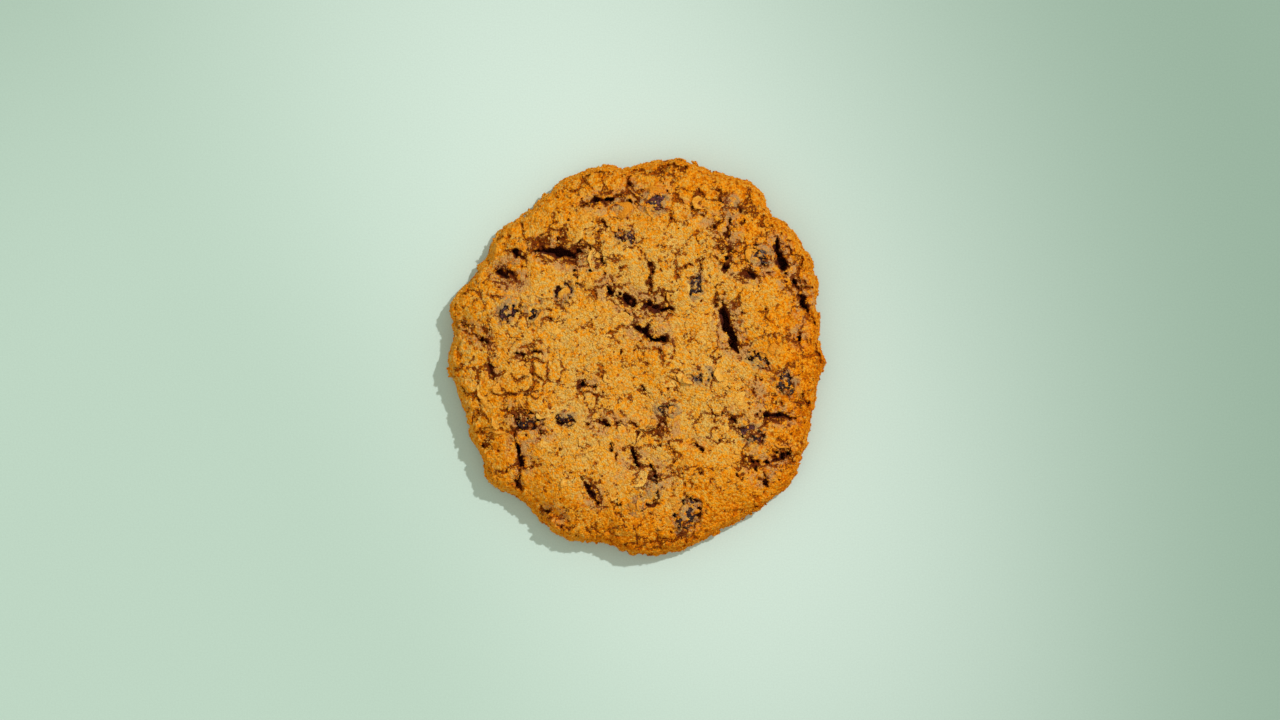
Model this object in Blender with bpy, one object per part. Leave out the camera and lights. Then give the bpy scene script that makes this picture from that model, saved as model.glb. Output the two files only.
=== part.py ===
"""Oatmeal raisin cookie: one baked body of dough with a cracked top, and the raisins that show in it.

The cookie lies on its flat underside. The origin is on that face, under the middle of the cookie's
box, with +Z up. Run it with: blender --background --python part.py

The dough is one closed solid. Its top is a low dome that rolls over into a rounded edge, on an
uneven hand-dropped outline. Crevices part the top into slabs, and each raisin sits in a pocket of
its own, with a thin gap round it.
"""

import math
from typing import NamedTuple

import bmesh
import bpy
from mathutils import Matrix, Vector, geometry, noise

MM = 0.001

# The dough's height profile.
DOME_HEIGHT = 13.9 * MM
SHOULDER_RISE = 5.2 * MM
WAIST_HEIGHT = 3.9 * MM
EDGE_ROUNDING = 2.9 * MM
SHOULDER_ANGLE = math.radians(80)
ROLL_LENGTH = 4.6 * MM

# Slow swells of the top, and lumps round the edge: (wavelength, height).
TOP_SWELLS = ((16 * MM, 1.1 * MM), (7 * MM, 0.8 * MM))
EDGE_LUMPS = ((9 * MM, 0.6 * MM), (4 * MM, 0.45 * MM))

# How finely the solid is divided.
RIM_POINTS = 150
EDGE_ANGLES = tuple(math.radians(a) for a in (52, 24, -6, -42, -90))
RINGS = ((4.1 * MM, 132), (6.3 * MM, 112))
GRID_STEP = 2.9 * MM
GRID_INSET = 8.0 * MM
CREVICE_STEP = 2.1 * MM
RAISIN_SEGMENTS, RAISIN_RINGS = 9, 6

# Each crevice is a V with a broad shallow dip over it, so the slabs between them are pillowed.
CREVICE_WANDER = 0.8 * MM
DIP_REACH = 5.5 * MM
DIP_SHARE = 0.28
NOTCH_SHARE = 0.4
PIT_CORNERS, PIT_SKEW = 6, 0.15

POCKET_GAP = 0.35 * MM
SLOPE_SPAN = 2.5 * MM

# The outline: its radius at each bulge and dip, by the angle from +X.
RIM_KNOTS = (
    (0, 46.7), (5, 45.3), (15, 46.9), (25, 48.9), (41, 50.2), (48, 48.8), (55, 52.2), (67, 49.8),
    (76, 50.5), (86, 48.5), (94, 47.3), (100, 48.4), (112, 47.1), (128, 45.1), (140, 46.0),
    (145, 44.0), (149, 45.0), (157, 45.8), (164, 48.0), (173, 45.6), (181, 46.7), (190, 44.7),
    (211, 45.2), (221, 47.3), (230, 44.9), (246, 48.0), (261, 46.3), (269, 48.8), (280, 48.9),
    (297, 47.7), (320, 49.3), (333, 47.5), (350, 45.4),
)


class Crevice(NamedTuple):
    """A crack in the top: an arc from (x, y) that starts along heading and turns by bend.

    Lengths are in millimetres and angles in degrees.
    """

    name: str
    x: float
    y: float
    heading: float
    length: float
    bend: float
    width: float
    depth: float


CREVICES = (
    Crevice("north west arc", -15.0, 37.9, 12, 16, -24, 2.8, 2.8),
    Crevice("north west thread", -9.2, 35.2, -62, 6, 12, 1.8, 1.4),
    Crevice("north notch", -1.6, 47.5, -88, 8.5, 35, 2.4, 2.6),
    Crevice("north run", 6.4, 45.8, -86, 7.5, 54, 2.2, 2.0),
    Crevice("north slant", 9.0, 39.8, -30, 14, -6, 2.2, 1.8),
    Crevice("north west slit", -26.2, 27.4, -2, 17, -28, 3.4, 4.2),
    Crevice("north west spur", -32.4, 27.0, -26, 5.5, 0, 2.6, 2.4),
    Crevice("west bank", -35.6, 23.4, -52, 10.5, 40, 3.2, 3.4),
    Crevice("centre start", -8.4, 18.8, -28, 5.6, -48, 3.2, 3.4),
    Crevice("centre bow", -3.6, 17.2, -38, 6.5, -46, 2.6, 3.0),
    Crevice("centre run", -1.8, 10.2, -42, 11, 4, 2.8, 3.2),
    Crevice("centre cross", 0.4, 12.6, 12, 9.5, -40, 2.4, 2.4),
    Crevice("centre thread", 1.6, 25.4, -58, 10, -40, 1.8, 1.5),
    Crevice("centre tick", -4.0, 4.6, -84, 5, 8, 1.8, 1.5),
    Crevice("far west", -47.0, 11.5, -36, 16, -2, 2.4, 2.4),
    Crevice("west low", -31.5, 0.7, 3, 10.5, 0, 2.4, 2.2),
    Crevice("west side", -37.0, -1.0, -72, 7.5, 46, 2.4, 2.2),
    Crevice("west drop", -32.2, -9.6, -88, 5.5, 50, 2.4, 2.6),
    Crevice("south west slit", -30.4, -15.2, -7, 9.5, -36, 3.6, 4.4),
    Crevice("south west arch", -19.6, -16.2, 82, 6.5, -160, 2.4, 2.6),
    Crevice("south west run", -30.2, -18.5, -84, 10.5, 16, 2.6, 3.0),
    Crevice("south west exit", -28.3, -28.4, -106, 7.5, 12, 2.6, 3.0),
    Crevice("south west rim", -26.3, -35.7, -27, 10.5, 12, 2.8, 3.0),
    Crevice("south west tail", -19.2, -38.8, -66, 7, 26, 2.2, 2.2),
    Crevice("south hollow", -13.2, -30.8, -62, 8, 12, 2.8, 3.0),
    Crevice("south notch", -7.9, -41.0, -76, 6.5, 0, 2.4, 2.6),
    Crevice("south line", -8.4, -29.6, -4, 7, 0, 2.2, 2.0),
    Crevice("south drop", -6.6, -19.6, -74, 4, 0, 2.2, 2.4),
    Crevice("south pit", -1.0, -22.6, -72, 5, 10, 2.6, 3.0),
    Crevice("south hook", 3.6, -25.8, -86, 7.5, 84, 2.4, 2.6),
    Crevice("middle hook", -15.2, -7.4, 40, 6.6, -76, 2.4, 2.4),
    Crevice("middle run", -13.8, -14.9, -20, 15.5, 42, 2.2, 2.2),
    Crevice("middle tick", 1.2, -5.4, -50, 5, 0, 1.8, 1.5),
    Crevice("middle slant", 5.2, -14.6, -34, 7.5, -44, 2.4, 2.4),
    Crevice("east run", 22.4, 15.4, -97, 16, 44, 3.0, 3.2),
    Crevice("north east run", 24.0, 41.0, -96, 20.5, 4, 2.8, 2.6),
    Crevice("east rim upper", 34.4, 31.0, -76, 11, 4, 3.2, 4.0),
    Crevice("east rim lower", 36.8, 21.2, -44, 13, -40, 3.6, 4.4),
    Crevice("east rim tail", 40.6, 8.8, -89, 7, 0, 3.0, 3.2),
    Crevice("east inner bow", 25.0, 22.0, -36, 10.5, 78, 2.4, 2.4),
    Crevice("east scratch", 28.6, 11.2, 12, 5.5, -30, 1.8, 1.5),
    Crevice("east gap", 29.6, 1.8, -64, 6.5, 20, 2.8, 2.8),
    Crevice("east bar", 27.0, -7.2, -36, 5.8, 0, 2.6, 3.0),
    Crevice("east low run", 29.6, -15.6, 26, 14, -62, 2.4, 2.4),
    Crevice("east middle", 22.0, -13.0, -24, 5.6, -42, 2.4, 2.4),
    Crevice("south east dip", 11.6, -18.8, -30, 7.5, -14, 2.0, 1.8),
    Crevice("south east run", 26.4, -25.8, 8, 14.5, 4, 2.6, 2.8),
    Crevice("south east hook", 29.0, -26.4, -60, 7.8, 0, 2.6, 2.8),
    Crevice("south east short", 23.0, -34.8, -46, 6, 0, 2.2, 2.0),
)


class Pit(NamedTuple):
    """A round hole in the top that narrows to a point. Lengths are in millimetres."""

    name: str
    x: float
    y: float
    width: float
    depth: float


PITS = (
    Pit("centre hole", 6.6, 5.0, 3.8, 3.6),
    Pit("centre dimple", 3.2, 7.6, 2.2, 1.8),
    Pit("bow hole", -0.6, 9.2, 2.4, 2.4),
    Pit("slit end", -7.5, 23.4, 2.2, 2.2),
    Pit("north spot west", 4.4, 31.0, 2.0, 1.8),
    Pit("north spot east", 7.6, 30.8, 2.0, 1.8),
    Pit("north low spot", 11.0, 26.2, 2.4, 2.4),
    Pit("north dimple", 7.8, 22.2, 2.0, 1.8),
    Pit("bow slot", -18.7, 10.0, 1.8, 1.8),
    Pit("west hole", -24.5, 2.0, 2.8, 2.8),
    Pit("west rim hole", -39.0, -10.0, 2.6, 2.6),
    Pit("middle hole", -7.5, -9.3, 2.2, 2.2),
    Pit("south west upper pit", -23.3, -23.0, 2.0, 1.8),
    Pit("south west lower pit", -25.0, -27.8, 2.0, 2.0),
    Pit("south west inner pit", -19.0, -22.4, 1.8, 1.6),
    Pit("south pit", -6.5, -37.4, 2.2, 2.0),
    Pit("east middle pit", 19.2, -15.5, 2.2, 2.2),
    Pit("east low pit", 30.4, -13.6, 2.0, 2.0),
    Pit("east outer pit", 36.2, -13.4, 2.2, 2.2),
    Pit("east rim hole", 41.0, -9.2, 2.4, 2.8),
    Pit("south east rim hole", 37.6, -22.6, 2.6, 2.6),
    Pit("south east pit", 17.6, -27.0, 2.0, 1.8),
    Pit("south east low pit", 21.4, -32.6, 2.2, 2.0),
)


class Raisin(NamedTuple):
    """A raisin in the top. Sizes are in millimetres and turn is in degrees.

    rise is how far its crown stands above the dough round it. A raisin at the bottom of a crevice
    has a rise below zero.
    """

    name: str
    x: float
    y: float
    turn: float
    length: float
    width: float
    thickness: float
    rise: float


RAISINS = (
    Raisin("raisin_north", 4.8, 38.4, 8, 8.2, 6.6, 4.6, 0.25),
    Raisin("raisin_north_west", -3.4, 37.2, -16, 5.8, 4.2, 3.6, -0.1),
    Raisin("raisin_upper", -2.0, 30.6, -20, 7.2, 6.0, 4.2, 0.1),
    Raisin("raisin_slit", -12.0, 23.6, -30, 6.8, 4.6, 4.0, -0.6),
    Raisin("raisin_west", -32.0, 11.8, 72, 7.0, 5.2, 4.0, 0.15),
    Raisin("raisin_west_inner", -25.2, 12.2, 86, 8.6, 5.8, 4.2, 0.1),
    Raisin("raisin_bow", -17.5, 16.2, 58, 7.2, 5.6, 4.2, 0.15),
    Raisin("raisin_south_west", -26.8, -15.8, -4, 8.6, 5.2, 4.2, -1.1),
    Raisin("raisin_arch", -17.5, -14.4, 4, 6.0, 4.8, 4.0, 0.0),
    Raisin("raisin_middle", 7.8, -12.8, -12, 7.6, 5.6, 4.0, 0.0),
    Raisin("raisin_east", 17.0, -4.2, 20, 9.4, 5.8, 4.6, 0.25),
    Raisin("raisin_inner_north", 15.2, 17.6, 78, 7.8, 5.2, 4.2, 0.1),
    Raisin("raisin_north_east", 31.0, 25.6, -28, 7.2, 5.4, 4.2, 0.15),
    Raisin("raisin_north_rim", 23.9, 38.6, 82, 6.0, 4.6, 4.0, -0.3),
    Raisin("raisin_east_gap", 30.6, -0.8, -38, 7.6, 5.4, 4.2, -0.1),
    Raisin("raisin_east_rim", 37.8, -6.2, -62, 7.6, 6.2, 4.4, 0.3),
    Raisin("raisin_south_east", 28.8, -19.0, -22, 7.6, 5.8, 4.0, 0.1),
    Raisin("raisin_round", 4.3, -32.4, 0, 4.6, 4.4, 3.8, 0.4),
    Raisin("raisin_south", 0.2, -36.4, 74, 6.4, 4.2, 3.8, 0.1),
    Raisin("raisin_south_rim", 12.6, -40.0, 70, 10.6, 7.0, 5.0, 0.5),
)


def clear_scene() -> None:
    """Removes the objects that the file started with."""
    for found in list(bpy.data.objects):
        bpy.data.objects.remove(found, do_unlink=True)


def swell(point: Vector, octaves) -> float:
    """The sum of smooth noises at a point, from (wavelength, height) pairs."""
    return sum(height * noise.noise(point / wavelength) for wavelength, height in octaves)


def rim_radius(angle: float) -> float:
    """The outline's radius at an angle, on a smooth closed curve through RIM_KNOTS."""
    degrees = math.degrees(angle) % 360
    count = len(RIM_KNOTS)
    after = next((i for i, knot in enumerate(RIM_KNOTS) if knot[0] > degrees), count)
    start = RIM_KNOTS[after - 1]
    end = RIM_KNOTS[after % count]
    span = (end[0] - start[0]) % 360
    share = (degrees - start[0]) / span
    before_slope = _knot_slope(after - 1) * span
    after_slope = _knot_slope(after % count) * span
    s2, s3 = share**2, share**3
    radius = (
        (2 * s3 - 3 * s2 + 1) * start[1]
        + (s3 - 2 * s2 + share) * before_slope
        + (3 * s2 - 2 * s3) * end[1]
        + (s3 - s2) * after_slope
    )
    return radius * MM


def _knot_slope(index: int) -> float:
    """The outline's slope at a knot, from the knots on each side of it."""
    before = RIM_KNOTS[index - 1]
    after = RIM_KNOTS[(index + 1) % len(RIM_KNOTS)]
    return (after[1] - before[1]) / ((after[0] - before[0]) % 360)


def rim_point(angle: float, inset: float) -> Vector:
    """A point of the outline drawn in by inset, on the ground."""
    return Vector((math.cos(angle), math.sin(angle), 0)) * (rim_radius(angle) - inset)


def crevice_path(crevice: Crevice) -> list[Vector]:
    """The crevice's floor line, with a slight wander that leaves its ends in place."""
    steps = max(2, round(crevice.length * MM / CREVICE_STEP))
    stride = crevice.length * MM / steps
    place = Vector((crevice.x, crevice.y, 0)) * MM
    heading = math.radians(crevice.heading)
    path = [place.copy()]
    for step in range(steps):
        heading += math.radians(crevice.bend) / steps * (0.5 if step == 0 else 1)
        place = place + Vector((math.cos(heading), math.sin(heading), 0)) * stride
        drift = noise.noise(place / (3 * MM)) * CREVICE_WANDER
        across = Vector((-math.sin(heading), math.cos(heading), 0))
        path.append(place + across * drift * (step < steps - 1))
    return path


def path_shares(count: int) -> list[float]:
    """How open a crevice is at each point of its path: nearly shut at its ends, full in between."""
    return [0.35 + 0.65 * math.sin(math.pi * i / (count - 1)) ** 0.5 for i in range(count)]


class Trench(NamedTuple):
    """A crevice as straight stretches: its floor points and their half widths and depths."""

    floor: list
    half_widths: list
    depths: list


def dig(crevice: Crevice) -> Trench:
    """The crevice's floor, with its half width and depth at each point."""
    path = crevice_path(crevice)
    shares = path_shares(len(path))
    half_widths = [0.5 * crevice.width * MM * share for share in shares]
    depths = [crevice.depth * MM * share for share in shares]
    return Trench(path, half_widths, depths)


TRENCHES = [dig(crevice) for crevice in CREVICES]


def pit_place(pit: Pit) -> Vector:
    """The middle of a pit on the ground plan."""
    return Vector((pit.x, pit.y, 0)) * MM


def crevice_depth(point: Vector) -> float:
    """How far the crevices, the dips over them and the pits cut into the top at a point."""
    slit, dip = 0.0, 0.0
    for trench in TRENCHES:
        for i, (start, end) in enumerate(zip(trench.floor, trench.floor[1:])):
            along = end - start
            share = (point - start).dot(along) / along.length_squared
            share = min(1.0, max(0.0, share))
            away = (point - start - along * share).length
            if away > DIP_REACH:
                continue
            half = trench.half_widths[i] * (1 - share) + trench.half_widths[i + 1] * share
            depth = trench.depths[i] * (1 - share) + trench.depths[i + 1] * share
            slit = max(slit, depth * (1 - away / half))
            dip = max(dip, depth * (1 - away / DIP_REACH) ** 2)
    for pit in PITS:
        away = (point - pit_place(pit)).length
        slit = max(slit, pit.depth * MM * (1 - away / (0.5 * pit.width * MM)))
    return slit + DIP_SHARE * dip


def inset_of(point: Vector) -> float:
    """How far a point on the ground plan lies inside the outline, along its radius."""
    return rim_radius(math.atan2(point.y, point.x)) - point.length


def edge_profile(angle: float) -> tuple[float, float]:
    """(inset, height) round the edge, from the shoulder at a high angle to the underside at -90."""
    inset = EDGE_ROUNDING * (1 - math.cos(angle))
    reach = SHOULDER_RISE if angle > 0 else WAIST_HEIGHT
    return inset, WAIST_HEIGHT + reach * math.sin(angle)


SHOULDER_INSET, SHOULDER_HEIGHT = edge_profile(SHOULDER_ANGLE)


def dough_height(point: Vector) -> float:
    """The top's height with no crevices: a low dome that rolls down to the shoulder."""
    depth_in = max(0.0, inset_of(point) - SHOULDER_INSET)
    dome = 1 - math.exp(-depth_in / ROLL_LENGTH)
    swells = swell(point, TOP_SWELLS) * min(1.0, depth_in / ROLL_LENGTH)
    return SHOULDER_HEIGHT + (DOME_HEIGHT - SHOULDER_HEIGHT) * dome + swells


def lifted(point: Vector) -> Vector:
    """The point of the cracked top above a point on the ground plan."""
    return Vector((point.x, point.y, dough_height(point) - crevice_depth(point)))


def crevice_points() -> tuple[list[Vector], list[tuple[int, int]]]:
    """Every crevice's floor and bank points inside the shoulder, and the floor's edges."""
    points, edges = [], []
    for trench in TRENCHES:
        last = None
        for i, place in enumerate(trench.floor):
            if inset_of(place) < SHOULDER_INSET + 0.6 * MM:
                last = None
                continue
            if last is not None:
                edges.append((last, len(points)))
            last = len(points)
            points.append(place)
            before = trench.floor[max(0, i - 1)]
            after = trench.floor[min(len(trench.floor) - 1, i + 1)]
            along = (after - before).normalized()
            across = Vector((-along.y, along.x, 0)) * trench.half_widths[i]
            banks = [place + across, place - across]
            points += [bank for bank in banks if inset_of(bank) > SHOULDER_INSET + 0.6 * MM]
    return points, edges


def pit_points() -> list[Vector]:
    """The middle of every pit and the corners of its mouth."""
    points = []
    for pit in PITS:
        middle = pit_place(pit)
        points.append(middle)
        for corner in range(PIT_CORNERS):
            turn = math.tau * (corner + PIT_SKEW * (corner % 2)) / PIT_CORNERS
            mouth = Vector((math.cos(turn), math.sin(turn), 0)) * 0.5 * pit.width * MM
            points.append(middle + mouth)
    return points


def filling_points(taken: list[Vector]) -> list[Vector]:
    """Points between the crevices: rings that follow the edge, and a staggered grid inside them."""
    wanted = []
    for inset, count in RINGS:
        wanted += [rim_point(math.tau * (i + 0.5) / count, inset) for i in range(count)]
    reach = math.ceil(max(knot[1] for knot in RIM_KNOTS) * MM / GRID_STEP)
    row_gap = GRID_STEP * math.sqrt(3) / 2
    for row in range(-reach - 8, reach + 9):
        for column in range(-reach, reach + 1):
            x = (column + 0.5 * (row % 2)) * GRID_STEP
            place = Vector((x, row * row_gap, 0))
            place.x += 0.25 * GRID_STEP * noise.noise(place / GRID_STEP + Vector((0, 0, 7.3)))
            if inset_of(place) > GRID_INSET:
                wanted.append(place)
    clear = 0.6 * GRID_STEP
    return [p for p in wanted if all((p - other).length > clear for other in taken)]


def top_surface() -> tuple[list[Vector], list[tuple[int, ...]]]:
    """The cracked top inside the shoulder, as points and triangles. The shoulder's loop is first."""
    turns = [math.tau * i / RIM_POINTS for i in range(RIM_POINTS)]
    plan = [rim_point(angle, SHOULDER_INSET) for angle in turns]
    edges = [(i, (i + 1) % RIM_POINTS) for i in range(RIM_POINTS)]
    cracks, floor_edges = crevice_points()
    edges += [(a + RIM_POINTS, b + RIM_POINTS) for a, b in floor_edges]
    cracks += pit_points()
    plan += cracks
    plan += filling_points(cracks)
    flat = [point.to_2d() / MM for point in plan]
    outline = [list(range(RIM_POINTS))]
    places, _, faces, _, _, _ = geometry.delaunay_2d_cdt(flat, edges, outline, 1, 1e-4)
    points = [lifted(Vector((place.x, place.y, 0)) * MM) for place in places]
    return points, faces


def edge_loop(angle: float) -> list[Vector]:
    """One loop of points round the edge, lumpy, and drawn in where a crevice runs out over it."""
    loop = []
    inset, height = edge_profile(angle)
    fade = (1 + math.sin(angle)) / (1 + math.sin(SHOULDER_ANGLE))
    for i in range(RIM_POINTS):
        turn = math.tau * i / RIM_POINTS
        notch = NOTCH_SHARE * crevice_depth(rim_point(turn, SHOULDER_INSET)) * fade
        place = rim_point(turn, inset + notch)
        place.z = height
        outward = place.to_2d().normalized().to_3d()
        place += outward * swell(place, EDGE_LUMPS)
        loop.append(place)
    return loop


def material(name: str, colour: tuple[float, float, float], roughness: float):
    """A plain Principled material."""
    made = bpy.data.materials.new(name)
    made.use_nodes = True
    shader = made.node_tree.nodes["Principled BSDF"]
    shader.inputs["Base Color"].default_value = (*colour, 1)
    shader.inputs["Roughness"].default_value = roughness
    shader.inputs["Metallic"].default_value = 0
    return made


def add_object(name: str, mesh, parent):
    """Links a mesh into the scene as an object on the cookie's own empty."""
    made = bpy.data.objects.new(name, mesh)
    bpy.context.scene.collection.objects.link(made)
    made.parent = parent
    return made


def build_dough(parent):
    """The dough as one closed solid: the cracked top, the rounded edge and the flat underside."""
    shape = bmesh.new()
    points, faces = top_surface()
    top = [shape.verts.new(point) for point in points]
    for face in faces:
        shape.faces.new([top[i] for i in face])
    upper = top[:RIM_POINTS]
    for angle in EDGE_ANGLES:
        lower = [shape.verts.new(point) for point in edge_loop(angle)]
        for i in range(RIM_POINTS):
            j = (i + 1) % RIM_POINTS
            shape.faces.new((upper[i], lower[i], lower[j], upper[j]))
        upper = lower
    shape.faces.new(list(reversed(upper)))
    bmesh.ops.recalc_face_normals(shape, faces=shape.faces)
    mesh = bpy.data.meshes.new("dough")
    shape.to_mesh(mesh)
    shape.free()
    mesh.shade_smooth()
    mesh.set_sharp_from_angle(angle=math.radians(50))
    return add_object("dough", mesh, parent)


def raisin_shape(raisin: Raisin, swelling: float):
    """A raisin's mesh round its own middle: an uneven flattened berry, grown by swelling."""
    shape = bmesh.new()
    bmesh.ops.create_uvsphere(
        shape, u_segments=RAISIN_SEGMENTS, v_segments=RAISIN_RINGS, radius=1
    )
    half = Vector((raisin.length, raisin.width, raisin.thickness)) * 0.5 * MM
    seed = Vector((raisin.x, raisin.y, raisin.length))
    for vertex in shape.verts:
        unit = vertex.co.copy()
        dent = 1 + 0.14 * noise.noise(unit * 1.3 + seed)
        vertex.co = Vector(unit[k] * (half[k] * dent + swelling) for k in range(3))
    bmesh.ops.recalc_face_normals(shape, faces=shape.faces)
    mesh = bpy.data.meshes.new(raisin.name)
    shape.to_mesh(mesh)
    shape.free()
    mesh.shade_smooth()
    return mesh


def dough_normal(plan: Vector) -> Vector:
    """The direction that the dough's top faces, measured across SLOPE_SPAN."""
    across = Vector((SLOPE_SPAN, 0, 0))
    ahead = Vector((0, SLOPE_SPAN, 0))
    tilt_x = dough_height(plan - across) - dough_height(plan + across)
    tilt_y = dough_height(plan - ahead) - dough_height(plan + ahead)
    return Vector((tilt_x, tilt_y, 2 * SLOPE_SPAN)).normalized()


def place_raisin(made, raisin: Raisin) -> None:
    """Lays the raisin along the dough's slope, sunk until only its crown stands above it."""
    plan = Vector((raisin.x, raisin.y, 0)) * MM
    upward = dough_normal(plan)
    middle = Vector((plan.x, plan.y, dough_height(plan)))
    middle += upward * (raisin.rise - 0.5 * raisin.thickness) * MM
    lean = Vector((0, 0, 1)).rotation_difference(upward).to_matrix().to_4x4()
    turned = Matrix.Rotation(math.radians(raisin.turn), 4, "Z")
    made.matrix_local = Matrix.Translation(middle) @ lean @ turned


def build_raisin(raisin: Raisin, dough, parent, skin) -> None:
    """One raisin, and the pocket that it sits in."""
    berry = add_object(raisin.name, raisin_shape(raisin, 0), parent)
    berry.data.materials.append(skin)
    place_raisin(berry, raisin)
    pocket = add_object(f"pocket_of_{raisin.name}", raisin_shape(raisin, POCKET_GAP), parent)
    place_raisin(pocket, raisin)
    pocket.hide_render = True
    pocket.display_type = "WIRE"
    cut = dough.modifiers.new(f"pocket {raisin.name}", "BOOLEAN")
    cut.operation = "DIFFERENCE"
    cut.solver = "EXACT"
    cut.object = pocket


def centre_on_origin(frame, dough) -> None:
    """Moves the cookie so that the middle of its box is over the origin."""
    xs = [vertex.co.x for vertex in dough.data.vertices]
    ys = [vertex.co.y for vertex in dough.data.vertices]
    middle = Vector((min(xs) + max(xs), min(ys) + max(ys), 0)) / 2
    frame.matrix_world = Matrix.Translation(-middle)


def main() -> None:
    """Builds the dough and its raisins on one empty."""
    clear_scene()
    frame = bpy.data.objects.new("cookie_frame", None)
    bpy.context.scene.collection.objects.link(frame)
    dough = build_dough(frame)
    dough.data.materials.append(material("baked dough", (0.50, 0.22, 0.045), 0.85))
    skin = material("raisin skin", (0.030, 0.010, 0.006), 0.4)
    for raisin in RAISINS:
        build_raisin(raisin, dough, frame, skin)
    centre_on_origin(frame, dough)


main()
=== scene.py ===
"""Oatmeal raisin cookie: the baked crust, raisins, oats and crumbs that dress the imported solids.

The crust starts from the dough solid. Its crevices and pockets are read from the solid, torn and
crumbled in a block of small cells, and drawn back out of that block as one skin. Wrinkled raisins,
oat flakes and loose crumbs then sit where the solids and that skin say. Lengths are in metres.
"""

import itertools
import logging
import math
from collections.abc import Sequence
from dataclasses import dataclass, field
from enum import Enum

import bpy
import numpy as np
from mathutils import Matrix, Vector
from mathutils.bvhtree import BVHTree


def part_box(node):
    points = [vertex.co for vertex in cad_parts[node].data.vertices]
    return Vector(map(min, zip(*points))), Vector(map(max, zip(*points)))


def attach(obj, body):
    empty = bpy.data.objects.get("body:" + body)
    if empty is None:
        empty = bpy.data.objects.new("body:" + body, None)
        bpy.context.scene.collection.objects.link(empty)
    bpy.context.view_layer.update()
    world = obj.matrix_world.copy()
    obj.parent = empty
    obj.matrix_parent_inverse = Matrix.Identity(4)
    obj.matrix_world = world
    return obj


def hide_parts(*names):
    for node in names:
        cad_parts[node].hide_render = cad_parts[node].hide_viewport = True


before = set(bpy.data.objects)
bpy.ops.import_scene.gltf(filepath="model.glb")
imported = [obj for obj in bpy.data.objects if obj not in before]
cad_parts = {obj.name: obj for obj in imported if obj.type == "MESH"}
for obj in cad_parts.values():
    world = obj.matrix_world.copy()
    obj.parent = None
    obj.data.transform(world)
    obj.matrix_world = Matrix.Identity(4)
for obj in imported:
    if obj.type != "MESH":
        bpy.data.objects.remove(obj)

MM = 0.001
Colour = tuple[float, float, float]
log = logging.getLogger("cookie")


class Slot(Enum):
    """The record's material slots."""

    DOUGH = "baked_dough"
    RAISIN = "raisin_skin"


# ---------------------------------------------------------------- noise and small number work


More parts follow.
